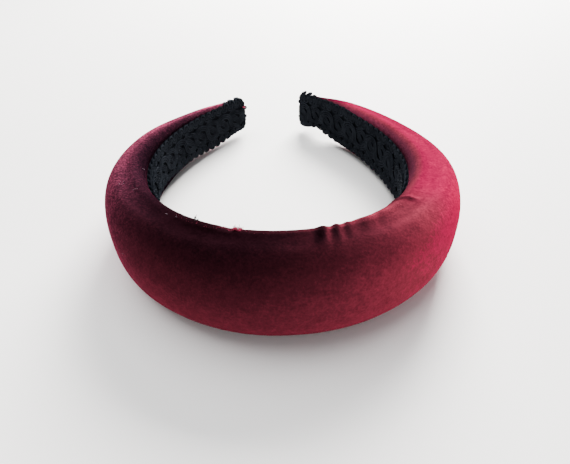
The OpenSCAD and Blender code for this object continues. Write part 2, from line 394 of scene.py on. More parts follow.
class Wiring:
    """Adds nodes to a tree and joins them, for geometry and for materials."""

    def __init__(self, tree: bpy.types.NodeTree) -> None:
        """Starts on a tree."""
        self.tree = tree

    def node(self, kind: str, inputs: dict | None = None, **settings: object) -> bpy.types.Node:
        """Adds one node.

        Args:
            kind: Blender's name of the node type.
            inputs: for each socket, by name or index, a value or a socket to join.
            settings: properties of the node.

        Returns:
            The node.
        """
        made = self.tree.nodes.new(kind)
        for key, value in settings.items():
            setattr(made, key, value)
        for key, value in (inputs or {}).items():
            self.feed(made.inputs[key], value)
        return made

    def feed(self, socket: bpy.types.NodeSocket, value: object) -> None:
        """Joins another socket to this one, or sets its value."""
        if isinstance(value, bpy.types.NodeSocket):
            self.tree.links.new(value, socket)
        else:
            socket.default_value = value

    def sum(self, kind: str, *values: object) -> bpy.types.NodeSocket:
        """Adds a maths node in the tree and gives its result."""
        made = self.node("ShaderNodeMath", dict(enumerate(values)), operation=kind)
        return made.outputs[0]

    def turn(self, kind: str, *values: object) -> bpy.types.NodeSocket:
        """Adds a vector maths node in the tree and gives its vector."""
        made = self.node("ShaderNodeVectorMath", dict(enumerate(values)), operation=kind)
        return made.outputs["Vector"]

    def scaled(self, vector: object, factor: object) -> bpy.types.NodeSocket:
        """Makes a vector longer or shorter."""
        return self.node("ShaderNodeVectorMath", {0: vector, "Scale": factor},
                         operation="SCALE").outputs[0]

    def vector(self, x: object, y: object, z: object) -> bpy.types.NodeSocket:
        """Makes a vector of three values or sockets."""
        return self.node("ShaderNodeCombineXYZ", {0: x, 1: y, 2: z}).outputs[0]

    def parts(self, vector: bpy.types.NodeSocket) -> bpy.types.bpy_prop_collection:
        """Splits a vector into its three parts."""
        return self.node("ShaderNodeSeparateXYZ", {0: vector}).outputs

    def noise(self, place: bpy.types.NodeSocket, scale: float, detail: float,
              **more: float) -> bpy.types.bpy_prop_collection:
        """Adds a noise texture and gives its outputs."""
        inputs = {"Vector": place, "Scale": scale, "Detail": detail, **more}
        return self.node("ShaderNodeTexNoise", inputs).outputs

    def attribute(self, name: str) -> bpy.types.NodeSocket:
        """Value of the mesh's attribute of a name, for a material."""
        return self.node("ShaderNodeAttribute", attribute_name=name).outputs["Fac"]

    def named(self, name: str) -> bpy.types.NodeSocket:
        """Value of the geometry's attribute of a name, for geometry nodes."""
        return self.node("GeometryNodeInputNamedAttribute", {"Name": name},
                         data_type="FLOAT").outputs["Attribute"]


# Finishes
def new_material(name: str, **values: object) -> tuple[bpy.types.Material, Wiring,
                                                       bpy.types.bpy_prop_collection]:
    """A node material with a Principled shader.

    Args:
        name: name of the material.
        values: values of the shader's inputs, with _ for each space of their names.

    Returns:
        The material, the wiring of its tree, and the shader's inputs.
    """
    material = bpy.data.materials.new(name)
    material.use_nodes = True
    inputs = material.node_tree.nodes["Principled BSDF"].inputs
    for key, value in values.items():
        inputs[key.replace("_", " ")].default_value = value
    return material, Wiring(material.node_tree), inputs


@dataclass(frozen=True)
class VelvetFinish:
    """Burgundy velvet whose short nap lies flat in some places and stands in others.

    Each row of the ramp holds a lay of the nap, from 0 dark to 1 bright, and its colour.
    The lay holds painted light and shade as well as the nap's lie.
    """

    name: str = "burgundy velvet"
    ramp: tuple = (
        (0.00, (0.0025, 0.0007, 0.0012)),
        (0.20, (0.0075, 0.0019, 0.0032)),
        (0.40, (0.0200, 0.0038, 0.0063)),
        (0.60, (0.0500, 0.0078, 0.0131)),
        (0.75, (0.1050, 0.0140, 0.0240)),
        (0.88, (0.2000, 0.0220, 0.0400)),
        (1.00, (0.4000, 0.0120, 0.0640)),
    )
    patch_per_m: float = 70.0
    mottle_per_m: float = 300.0
    grain_per_m: float = 1100.0
    patch_share: float = 0.10
    mottle_share: float = 0.17
    grain_share: float = 0.30
    noise_detail: float = 3.0
    noise_rough: float = 0.6
    # Painted glints: light specks of the pile, in cells of this size
    glint_per_m: float = 1700.0
    glint_share: float = 0.32
    # cool tints the painted sheen seen at grazing angles
    cool: tuple = (1.0, 1.32, 1.54)
    warm: tuple = (1.0, 0.20, 0.80)
    rough: float = 0.9
    sheen: float = 0.12
    sheen_rough: float = 0.12
    sheen_tint: tuple = (1.0, 0.12, 0.30, 1.0)
    bump_m: float = 0.00035
    bump_strength: float = 0.55

    def material(self) -> bpy.types.Material:
        """Builds the velvet's material.

        Returns:
            The material. It reads the attributes nap, which holds painted light and shade as
            well as the nap's lie, cool, a painted sheen tint, warm, and glint_speckle, where
            painted glints show, of the mesh.
        """
        material, w, inputs = new_material(
            self.name, Roughness=self.rough, Specular_IOR_Level=0.0, Sheen_Weight=self.sheen,
            Sheen_Roughness=self.sheen_rough, Sheen_Tint=self.sheen_tint)
        place = w.node("ShaderNodeTexCoord").outputs["Object"]
        # The nap's lie with painted light and shade, shifted by random tone and painted glints
        lay = w.attribute("nap")
        shifts = []
        for scale, share in ((self.patch_per_m, self.patch_share),
                             (self.mottle_per_m, self.mottle_share),
                             (self.grain_per_m, self.grain_share)):
            grain = w.noise(place, scale, self.noise_detail, Roughness=self.noise_rough)["Fac"]
            shifts.append(w.sum("MULTIPLY", w.sum("SUBTRACT", grain, 0.5), share))
        # Painted glints: light specks of the pile where glint_speckle lets them show
        glint_cells = w.node("ShaderNodeTexVoronoi", {"Vector": place, "Scale": self.glint_per_m})
        tuft = w.node("ShaderNodeSeparateColor", {0: glint_cells.outputs["Color"]}).outputs[0]
        glint = w.sum("MULTIPLY", w.sum("SUBTRACT", tuft, 0.5), self.glint_share)
        shifts.append(w.sum("MULTIPLY", glint, w.attribute("glint_speckle")))
        for shift in shifts:
            lay = w.sum("ADD", lay, shift)
        ramp = w.node("ShaderNodeValToRGB", {"Fac": lay})
        stops = ramp.color_ramp.elements
        while len(stops) < len(self.ramp):
            stops.new(0.5)
        for stop, (at, colour) in zip(stops, self.ramp):
            stop.position = at
            stop.color = (*colour, 1.0)
        colour = ramp.outputs["Color"]
        # The cool tint is painted sheen, seen at grazing angles
        for name, tone in (("cool", self.cool), ("warm", self.warm)):
            colour = w.node("ShaderNodeMix",
                            {"Factor": w.attribute(name), 6: colour, 7: (*tone, 1.0)},
                            data_type="RGBA", blend_type="MULTIPLY").outputs[2]
        w.feed(inputs["Base Color"], colour)
        bump = w.node("ShaderNodeBump", {"Height": grain, "Strength": self.bump_strength,
                                         "Distance": self.bump_m})
        w.feed(inputs["Normal"], bump.outputs["Normal"])
        return material


@dataclass(frozen=True)
class GimpFinish:
    """Black cord that is wound with fine thread, or the tape under it."""

    name: str = "black gimp"
    base: tuple = (0.0030, 0.0036, 0.0050)
    # light is painted light on the cords' outer sides; the grooves keep base as painted shade
    light: tuple = (0.0250, 0.0285, 0.0355)
    rough: float = 0.9
    wind_m: float = 0.00042
    wind_share: float = 0.25
    wind_height: float = 0.35
    fibre_per_m: float = 1500.0
    patch_per_m: float = 240.0
    noise_detail: float = 2.0
    bump_m: float = 0.00012
    bump_strength: float = 0.6

    def material(self) -> bpy.types.Material:
        """Builds the cord's material.

        Returns:
            The material. It reads three attributes of the mesh: along, the way along the
            cord in metres, ridge, which is 1 on a cord's outer side, where light is
            painted, and 0 in its grooves, where shade is painted, and dim, painted shade, how
            much less light it shows.
        """
        material, w, inputs = new_material(self.name, Roughness=self.rough,
                                           Specular_IOR_Level=0.0)
        place = w.node("ShaderNodeTexCoord").outputs["Object"]
        fibre = w.noise(place, self.fibre_per_m, self.noise_detail)["Fac"]
        patch = w.noise(place, self.patch_per_m, self.noise_detail)["Fac"]
        wind = w.sum("SINE", w.sum("MULTIPLY", w.attribute("along"), 2 * math.pi / self.wind_m))
        height = w.sum("ADD", w.sum("MULTIPLY", wind, self.wind_height), fibre)
        # Painted light on each cord's outer side and painted shade in its grooves, less where dim
        facing = w.node("ShaderNodeMapRange", {"Value": w.attribute("ridge")}).outputs[0]
        lit = w.sum("ADD", w.sum("MULTIPLY", wind, self.wind_share), patch)
        share = w.sum("MULTIPLY", lit, w.sum("SUBTRACT", facing, w.attribute("dim")))
        mix = w.node("ShaderNodeMix", {"Factor": share, 6: (*self.base, 1.0),
                                       7: (*self.light, 1.0)},
                     data_type="RGBA", clamp_factor=True)
        w.feed(inputs["Base Color"], mix.outputs[2])
        bump = w.node("ShaderNodeBump", {"Height": height, "Strength": self.bump_strength,
                                         "Distance": self.bump_m})
        w.feed(inputs["Normal"], bump.outputs["Normal"])
        return material


@dataclass(frozen=True)
class PlainFinish:
    """One plain colour, for the floor and for loose fibres."""

    name: str
    colour: tuple
    rough: float = 0.7
    gloss: float = 0.15

    def material(self) -> bpy.types.Material:
        """Builds the material."""
        return new_material(self.name, Base_Color=(*self.colour, 1.0), Roughness=self.rough,
                            Specular_IOR_Level=self.gloss)[0]


# The velvet pad
@dataclass(frozen=True)
class NapLayWithPaintedLight:
    """How the velvet's nap lies over the cover, with painted light and shade in it: 0 is
    dark and 1 bright.

    Each of the lit tones lights what those before it leave dark. The others are added.
    """

    lit: tuple = (
        # Brighter from the upper edge over the outside to the lower one: partly the nap's lie,
        # partly painted light where the cover turns away at grazing angles
        Tone(0.72, around=((0, 128),)),
        # Toward the right arm: partly the nap's lie, partly painted light from the back right
        Tone(0.84, along=((-36, 64),)),
        # Toward the left arm, later on the outside than on top: partly the nap's lie, partly
        # painted rim light near the left arm's outer edge
        Tone(0.95, along=((-7, -151),), lean=0.37),
    )
    added: tuple = (
        # A painted glow of light on the outside, right of the crown
        Tone(0.14, along=((-57, 35), (127, 35)), around=((4, 55), (106, 55))),
        # A light stretch where the left arm begins
        Tone(0.07, along=((-102, -72), (-42, -72)), around=((8, 32),)),
        # Dark inner shoulders of the left arm and of the right one: partly the nap's lie,
        # partly painted shade beside the braid
        Tone(-0.43, along=((-66, -112),), around=((28, -47),)),
        Tone(-0.32, along=((13, 25), (148, 72)), around=((2, -71),)),
        # Painted rim light along the inner edge at the crown
        Tone(0.32, along=((-50, -12), (50, 20)), around=((-5, -18),)),
        # Darker toward the right tip, and painted shade at its end under the braid's fold
        Tone(-0.30, along=((148, 171),)),
        Tone(-0.55, along=((172, 181),)),
        # Darker, then lighter toward the left tip, and painted shade at its end under the
        # braid's fold
        Tone(-0.17, along=((-172, -146), (-120, -146))),
        Tone(0.10, along=((-158, -168),)),
        Tone(-0.65, along=((-173, -182),)),
        # Painted shade below, where the cover turns to the floor and to the seat
        Tone(-0.62, around=((165, 205),)),
        Tone(-1.00, around=((178, 215),)),
    )

    def at(self, d: np.ndarray, turn: np.ndarray) -> np.ndarray:
        """Lay of the nap, with painted light and shade, at distances d and turns, before folds.

        Args:
            d: distances from the crown.
            turn: degrees round the section, one for each distance.

        Returns:
            The lay at each place, which may pass 0 or 1.
        """
        dark = np.ones_like(d)
        for tone in self.lit:
            dark = dark * (1 - tone.at(d, turn))
        return 1 - dark + sum(tone.at(d, turn) for tone in self.added)


@dataclass(frozen=True)
class Folds:
    """Pinched folds right of the crown, which fan out over the top.

    Each row holds a fold's place along the upper edge, its height and its reach.
    """

    rows: tuple = ((8.5, -0.50, 2.6), (11.0, 0.32, 1.3), (13.1, -0.40, 1.4),
                   (15.1, 0.24, 1.2), (17.0, -0.20, 1.4), (19.2, 0.08, 1.6),
                   (22.5, -0.13, 3.4), (27.3, 0.08, 1.8), (30.0, -0.09, 2.4))
    slant: float = 0.066
    middle_turn: float = -10.0
    fade_turns: tuple = (34, 12)
    # Painted shade in the folds' valleys and painted light on their ridges, per millimetre
    shade: float = 0.8

    def height(self, d: np.ndarray, turn: np.ndarray) -> np.ndarray:
        """Height of the folds in millimetres at distances d and turns.

        Args:
            d: distances from the crown.
            turn: degrees round the section, one for each distance.

        Returns:
            The height at each place.
        """
        at_top = d + self.slant * turn
        height = np.zeros_like(d)
        for at, high, reach in self.rows:
            height += high * hump(at_top, at, reach)
        return height * smooth(np.abs(turn - self.middle_turn), *self.fade_turns)

    def nap(self, d: np.ndarray, turn: np.ndarray) -> np.ndarray:
        """Painted shade in the folds' valleys and painted light on their ridges, added to the lay
        of the nap.
        """
        return self.shade * self.height(d, turn)


@dataclass(frozen=True)
class Crease:
    """The crease where the right arm's cover meets the crown's.

    Each row of relief and of painted shade holds a height, its place past the crease and its
    reach.
    """

    d: float = 46.6
    slant: float = 0.18
    slant_turn: float = -8.0
    ends: tuple = ((-50, -32), (12, -4))
    relief: tuple = ((0.40, 2.4, 2.6), (-0.65, -0.2, 1.7))
    # Painted shade in the crease, and a faint painted highlight just past it
    shade: tuple = ((0.05, 2.2, 2.4), (-0.22, -0.7, 1.6))
    # Painted shade on the crown's side of the crease
    lee_shade: Tone = Tone(-0.06, along=((-11, -4), (0.5, -1.5)), around=((22, 2),))

    def past(self, d: np.ndarray, turn: np.ndarray) -> np.ndarray:
        """How far distances d lie past the crease at each turn."""
        return d - self.d - self.slant * np.minimum(turn - self.slant_turn, 0)

    def row(self, rows: tuple, d: np.ndarray, turn: np.ndarray) -> np.ndarray:
        """Sum of the rows of relief or shade, which fade at both ends of the crease.

        Args:
            rows: the rows to add up.
            d: distances from the crown.
            turn: degrees round the section, one for each distance.

        Returns:
            The sum at each place.
        """
        past = self.past(d, turn)
        total = sum(high * hump(past, at, reach) for high, at, reach in rows)
        return total * Tone(around=self.ends).at(d, turn)

    def height(self, d: np.ndarray, turn: np.ndarray) -> np.ndarray:
        """Height of the crease in millimetres at distances d and turns."""
        return self.row(self.relief, d, turn)

    def nap(self, d: np.ndarray, turn: np.ndarray) -> np.ndarray:
        """Painted shade of the crease and a faint painted highlight, added to the lay of the nap.
        """
        return self.row(self.shade, d, turn) + self.lee_shade.at(self.past(d, turn), turn)


@dataclass(frozen=True)
class Puckers:
    """Fine puckers along both seams of the cover, as the sum of uneven ripples."""

    height_mm: float = 0.022
    lengths: tuple = (3.1, 3.9, 5.3, 7.7)
    sway: float = 0.6
    sway_lengths: tuple = (6, 11)
    full_turn: float = 6.28
    seam_turns: tuple = (-48, 228)
    seam_reach: float = 40.0
    seed: int = 7

    def height(self, d: np.ndarray, turn: np.ndarray) -> np.ndarray:
        """Height of the puckers in millimetres at distances d and turns.

        Args:
            d: distances from the crown.
            turn: degrees round the section, one for each distance.

        Returns:
            The height at each place.
        """
        rng = np.random.default_rng(self.seed)
        ripple = np.zeros_like(d)
        for length in self.lengths:
            ripple += np.sin(2 * math.pi * d / length + rng.uniform(0, self.full_turn)
                             + self.sway * np.sin(d / rng.uniform(*self.sway_lengths)))
        seams = sum(hump(turn, at, self.seam_reach) for at in self.seam_turns)
        return self.height_mm * ripple * seams


@dataclass(frozen=True)
class ClothBlow:
    """How the cover is blown up as cloth, in millimetres. Its shape is scaled up for it."""

    slack: float = 0.3
    cap: float = 0.8
    tip_clear: tuple = (14, 30)
    frames: int = 24
    scale: float = 10.0
    pressure: float = 0.3
    settings: tuple = (("quality", 6), ("mass", 0.3), ("tension_stiffness", 18),
                       ("compression_stiffness", 12), ("shear_stiffness", 6),
                       ("bending_stiffness", 0.35), ("air_damping", 3))
    least_glue: float = 0.01

    def run(self, points: np.ndarray, normals: np.ndarray, glue: np.ndarray) -> np.ndarray:
        """Blows the cover up, starting a little slack, and caps its movement.

        Args:
            points: rings of the full shape, in plan millimetres.
            normals: outward directions at the same points.
            glue: how firmly each point is glued, from 0 to 1.

        Returns:
            Rings of the blown cover.
        """
        start = points - normals * self.slack * (1 - glue)[..., None]
        cover = show("cover at start", grid_mesh("cover at start", start * MM * self.scale))
        group = cover.vertex_groups.new(name="glued")
        poles = [1.0, 1.0]
        for index, weight in enumerate(np.concatenate([glue.ravel(), poles])):
            if weight > self.least_glue:
                group.add([index], float(weight), "REPLACE")
        cloth = cover.modifiers.new("blow up", "CLOTH")
        for name, value in self.settings:
            setattr(cloth.settings, name, value)
        cloth.settings.use_pressure = True
        cloth.settings.uniform_pressure_force = self.pressure
        cloth.settings.vertex_group_mass = group.name
        cloth.settings.effector_weights.gravity = 0
        cloth.collision_settings.use_collision = False
        cloth.point_cache.frame_start = 1
        cloth.point_cache.frame_end = self.frames
        scene = bpy.context.scene
        for number in range(1, self.frames + 1):
            scene.frame_set(number)
        graph = bpy.context.evaluated_depsgraph_get()
        result = coordinates(cover.evaluated_get(graph).data)[:glue.size]
        bpy.data.objects.remove(cover)
        scene.frame_set(1)
        moved = result.reshape(points.shape) / (MM * self.scale) - points
        reach = np.linalg.norm(moved, axis=-1, keepdims=True)
        log.info("cloth moved the cover by %.2f mm at most", float(reach.max()))
        return points + moved * np.minimum(1, self.cap / np.maximum(reach, TINY))


@dataclass
class VelvetPad:
    """The padded velvet cover, blown up as cloth round its foam and glued at its seat."""

    plan: HoopPlan = field(default_factory=HoopPlan)
    rest: Resting = field(default_factory=Resting)
    finish: VelvetFinish = field(default_factory=VelvetFinish)
    lay: NapLayWithPaintedLight = field(default_factory=NapLayWithPaintedLight)
    folds: Folds = field(default_factory=Folds)
    crease: Crease = field(default_factory=Crease)
    puckers: Puckers = field(default_factory=Puckers)
    blow: ClothBlow = field(default_factory=ClothBlow)
    mound: Tone = Tone(1.0, along=((-25, -19), (-13, -19)), around=((-38, -14), (10, -14)))
    # Where the painted tint of sheen at grazing angles lies
    cool_left: Tone = Tone(along=((-30, -80),))
    cool_right: Tone = Tone(along=((50, 75),), around=((-28, -60),))
    warm: Tone = Tone(along=((38, 60),), around=((-38, -14),))
    # Where painted glints speckle the velvet
    glint_speckle: Tone = Tone(along=((-30, -75),))
    fill: float = 0.9
    pad_w: float = 42.2
    pad_t: float = 24.8
    tip_t: float = 3.0
    tip_w: float = 21.4
    seat_n: float = 1.75
    seat_half: float = 10.2
    crown_waist: float = 0.27
    tip_waist: float = 0.45
    outer_round: float = 2.15
    tip_round: float = 3.5
    upper_round: float = 2.1
    lower_round: float = 1.6
    end_len: float = 3.75
    end_shares: tuple = (0.02, 0.12, 0.3, 0.55, 0.8)
    glue_fade: tuple = (0.35, 0.8)
    stations: int = 212
    outer_points: int = 44
    shoulder_points: int = 8
    seat_points: int = 8
    curve_steps: int = 60
    seat_turns: tuple = (270, 290)
    feel_turn: float = 3.0

    def widths(self, d: np.ndarray) -> tuple[np.ndarray, np.ndarray]:
        """Width and thickness of the pad at distances from the crown.

        Args:
            d: distances from the crown.

        Returns:
            The widths and the thicknesses.
        """
        wide = self.tip_w + (self.pad_w - self.tip_w) * self.plan.column(Column.WIDTH, d)
        thick = self.tip_t + (self.pad_t - self.tip_t) * self.plan.column(Column.THICKNESS, d)
        return wide, thick

    def section(self, d: float) -> np.ndarray:
        """One ring of offsets outward and up, evenly spaced along each of its parts.

        Args:
            d: distance from the crown.

        Returns:
            A row of offset and height for each point, from the upper edge over the outside, the
            lower edge and the seat back to it.
        """
        wide, thick = (float(v) for v in self.widths(np.array(d)))
        share = float(self.plan.share(d))
        to_end = float(self.plan.half_len(d)) - abs(d)
        left = to_end - self.seat_n
        cut_z = float(round_off(self.end_len, left))
        cut_n = float(round_off(self.tip_t / 2, left))
        low = float(self.plan.pad_draw(d, to_end))
        half, seat = wide / 2 - cut_z, self.seat_half - cut_z
        thick -= 2 * cut_n
        waist = (self.crown_waist + (self.tip_waist - self.crown_waist) * share) * thick
        power = self.outer_round + (self.tip_round - self.outer_round) * share
        base = self.seat_n + cut_n
        a = np.radians(np.linspace(0, 180, 3 * self.curve_steps + 1))
        flat = np.sign(np.cos(a)) * np.abs(np.cos(a)) ** (2 / power)
        outer = np.stack([base + waist + (thick - waist) * np.abs(np.sin(a)) ** (2 / power),
                          (half - np.where(a < math.pi / 2, 0, low)) * flat], axis=1)
        b = np.radians(np.linspace(0, 90, self.curve_steps + 1))

        def shoulder(power_at: float) -> tuple[np.ndarray, np.ndarray]:
            """Offsets outward and sideways shares along one shoulder, wide end first."""
            return (base + waist * (1 - np.sin(b) ** (2 / power_at)),
                    np.abs(np.cos(b)) ** (2 / power_at))

        n_low, z_low = shoulder(self.lower_round)
        n_up, z_up = shoulder(self.upper_round)
        lower = np.stack([n_low, low - seat - (half - seat) * z_low], axis=1)
        upper = np.stack([n_up, seat + (half - seat) * z_up], axis=1)[::-1]
        flat_seat = np.stack([lower[-1], upper[0]])
        parts = ((outer, self.outer_points), (lower, self.shoulder_points),
                 (flat_seat, self.seat_points), (upper, self.shoulder_points))
        return np.concatenate([even(part, count) for part, count in parts])

    def station_list(self) -> np.ndarray:
        """Distances of the rings, close together at both rounded ends.

        Returns:
            The distances from the left tip to the right one.
        """
        left = -self.plan.left_len + self.seat_n
        right = self.plan.right_len - self.seat_n
        ends = self.end_len * np.array(self.end_shares)
        inner = np.linspace(left + self.end_len, right - self.end_len, self.stations)
        return np.concatenate([left + ends, inner, right - ends[::-1]])

    def rings(self) -> tuple[np.ndarray, np.ndarray]:
        """Distances of the stations, and the plan's points of each ring.

        Returns:
            The distances, and an array of rings x points x 3.
        """
        stations = self.station_list()
        points = []
        for d in stations:
            ring = self.section(float(d))
            points.append(self.plan.at(np.full(len(ring), d), ring[:, 0], ring[:, 1]))
        return stations, np.array(points)

    def glued(self, stations: np.ndarray) -> np.ndarray:
        """How firmly each point is glued, 1 on the seat under the braid and at the tips.

        Args:
            stations: distances of the rings.

        Returns:
            An array of rings x points, 0 where the cover is free.
        """
        ring = np.zeros(self.outer_points + 2 * self.shoulder_points + self.seat_points)
        first = self.outer_points + self.shoulder_points
        last = first + self.seat_points
        fade = len(self.glue_fade)
        ring[first:last] = 1.0
        ring[first - fade:first] = self.glue_fade
        ring[last:last + fade] = self.glue_fade[::-1]
        to_end = self.plan.half_len(stations) - np.abs(stations)
        return np.maximum(ring[None, :], 1 - smooth(to_end, *self.blow.tip_clear)[:, None])

    def nap(self, d: np.ndarray, turn: np.ndarray) -> np.ndarray:
        """How light the nap lies, with painted light and shade added: 0 is dark and 1 is bright.
        """
        lay = self.lay.at(d, turn) + self.folds.nap(d, turn) + self.crease.nap(d, turn)
        return np.clip(lay, 0, 1)

    def cool(self, d: np.ndarray, turn: np.ndarray) -> np.ndarray:
        """How cool the velvet's tone is, on the left arm and the right arm's inner shoulder: a
        painted tint of the greyish sheen seen there at grazing angles.
        """
        return np.maximum(self.cool_left.at(d, turn), self.cool_right.at(d, turn))

    def pinches(self, d: np.ndarray, turn: np.ndarray) -> np.ndarray:
        """Height of folds, crease, mound and puckers over the cover, in millimetres."""
        return (self.folds.height(d, turn) + self.crease.height(d, turn)
                + self.mound.at(d, turn) + self.puckers.height(d, turn))

    def build(self) -> bpy.types.Object:
        """Returns:
            The piece.
        """
        stations, cover = self.rings()
        cover = self.blow.run(cover, ring_normals(cover), self.glued(stations))
        cover = refine(cover)
        d, turn = refine_rows(stations), refine_ring(self.turns())
        d_all = np.broadcast_to(d[:, None], cover.shape[:2])
        turn_all = np.broadcast_to(turn[None, :], cover.shape[:2])
        cover = cover + ring_normals(cover) * self.pinches(d_all, turn_all)[..., None]
        laid = self.rest.lay(cover)
        laid[..., 2] = np.maximum(laid[..., 2], 0.0)
        mesh = grid_mesh("velvet pad", laid)
        # nap holds painted light and shade, cool a painted sheen tint, glint_speckle painted
        # glints
        for name, values in (("nap", self.nap(d_all, turn_all)),
                             ("cool", self.cool(d_all, turn_all)),
                             ("warm", self.warm.at(d_all, turn_all)),
                             ("glint_speckle", self.glint_speckle.at(d_all, turn_all))):
            row = values.ravel()
            point_floats(mesh, name, np.concatenate([row, [row[0], row[-1]]]))
        mesh.materials.append(self.finish.material())
        piece = show("velvet_pad", mesh)
        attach(piece, BODY)
        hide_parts("padded_band")
        return piece

    def surface(self, d: float, turn: float) -> tuple[np.ndarray, np.ndarray]:
        """Place in the plan and outward direction of the cover at one distance and turn.

        Args:
            d: distance from the crown.
            turn: degrees round the section.

        Returns:
            The place in millimetres, and a direction of length 1.
        """
        way = self.turns()
        order = np.argsort(way)
        ring = self.section(d)[order]
        here, ahead = (np.array([np.interp(turn + more, way[order], ring[:, k]) for k in (0, 1)])
                       for more in (-self.feel_turn, self.feel_turn))
        n, z = (here + ahead) / 2
        x, y, heading = (float(v) for v in self.plan.place(np.array(d)))
        out = np.array([math.sin(heading), -math.cos(heading)])
        step = (ahead - here) / np.linalg.norm(ahead - here)
        across, up = -step[1], step[0]
        return (np.array([x + n * out[0], y + n * out[1], z]),
                np.array([across * out[0], across * out[1], up]))

    def turns(self) -> np.ndarray:
        """Way round the section, in degrees, of each point of a ring.

        Returns:
            The turns in the order of the points, which jump back between the seat and the upper
            shoulder.
        """
        outer = np.linspace(0, 180, self.outer_points, endpoint=False)
        lower = np.linspace(180, 270, self.shoulder_points, endpoint=False)
        seat = np.linspace(*self.seat_turns, self.seat_points, endpoint=False)
        upper = np.linspace(-90, 0, self.shoulder_points, endpoint=False)
        return np.concatenate([outer, lower, seat, upper])


def even(line: np.ndarray, count: int) -> np.ndarray:
    """Takes points evenly spaced along a line, without its last point.

    Args:
        line: rows of points.
        count: how many points to take.

    Returns:
        The rows of the points taken.
    """
    step = np.linalg.norm(np.diff(line, axis=0), axis=1)
    along = np.concatenate([[0.0], np.cumsum(step)])
    wanted = np.linspace(0, along[-1], count, endpoint=False)
    return np.stack([np.interp(wanted, along, line[:, k]) for k in range(line.shape[1])], axis=1)


def ring_normals(points: np.ndarray) -> np.ndarray:
    """Outward directions over rings of points that run from the top over the outside.

    Args:
        points: rings x points x 3.

    Returns:
        A direction of length 1 for each point.
    """
    round_way = np.roll(points, -1, axis=1) - np.roll(points, 1, axis=1)
    long_way = np.gradient(points, axis=0)
    normal = np.cross(long_way, round_way)
    return normal / np.maximum(np.linalg.norm(normal, axis=-1, keepdims=True), TINY)


def refine(points: np.ndarray) -> np.ndarray:
    """Doubles rings and points with points between them on a smooth four-point curve.

    Args:
        points: rings x points x 3.

    Returns:
        The finer rings, with the old points at every second place.
    """
    before, after = np.roll(points, 1, axis=1), np.roll(points, -1, axis=1)
    beyond = np.roll(points, -2, axis=1)
    middle = (9 * (points + after) - before - beyond) / 16
    ring = np.stack([points, middle], axis=2).reshape(len(points), -1, 3)
    padded = np.concatenate([2 * ring[:1] - ring[1:2], ring, 2 * ring[-1:] - ring[-2:-1]])
    between = (9 * (padded[1:-2] + padded[2:-1]) - padded[:-3] - padded[3:]) / 16
    result = np.empty((2 * len(ring) - 1, ring.shape[1], 3))
    result[0::2], result[1::2] = ring, between
    return result


def refine_rows(values: np.ndarray) -> np.ndarray:
    """Doubles a row of numbers with the middles between them.

    Args:
        values: the numbers.

    Returns:
        Each number followed by the middle to the next.
    """
    result = np.empty(2 * len(values) - 1)
    result[0::2], result[1::2] = values, (values[1:] + values[:-1]) / 2
    return result


def refine_ring(values: np.ndarray, jump: float = 90.0, onward: float = 2.0) -> np.ndarray:
    """Doubles the turns round a ring, where they jump back as if they went on a little.

    Args:
        values: the turns of a ring's points.
        jump: how many degrees back count as a jump.
        onward: how many degrees they are taken to go on instead.

    Returns:
        Each turn followed by the middle to the next.
    """
    after = np.append(values[1:], values[-1])
    after = np.where(after < values - jump, values + onward, after)
    return np.stack([values, (values + after) / 2], axis=1).ravel()


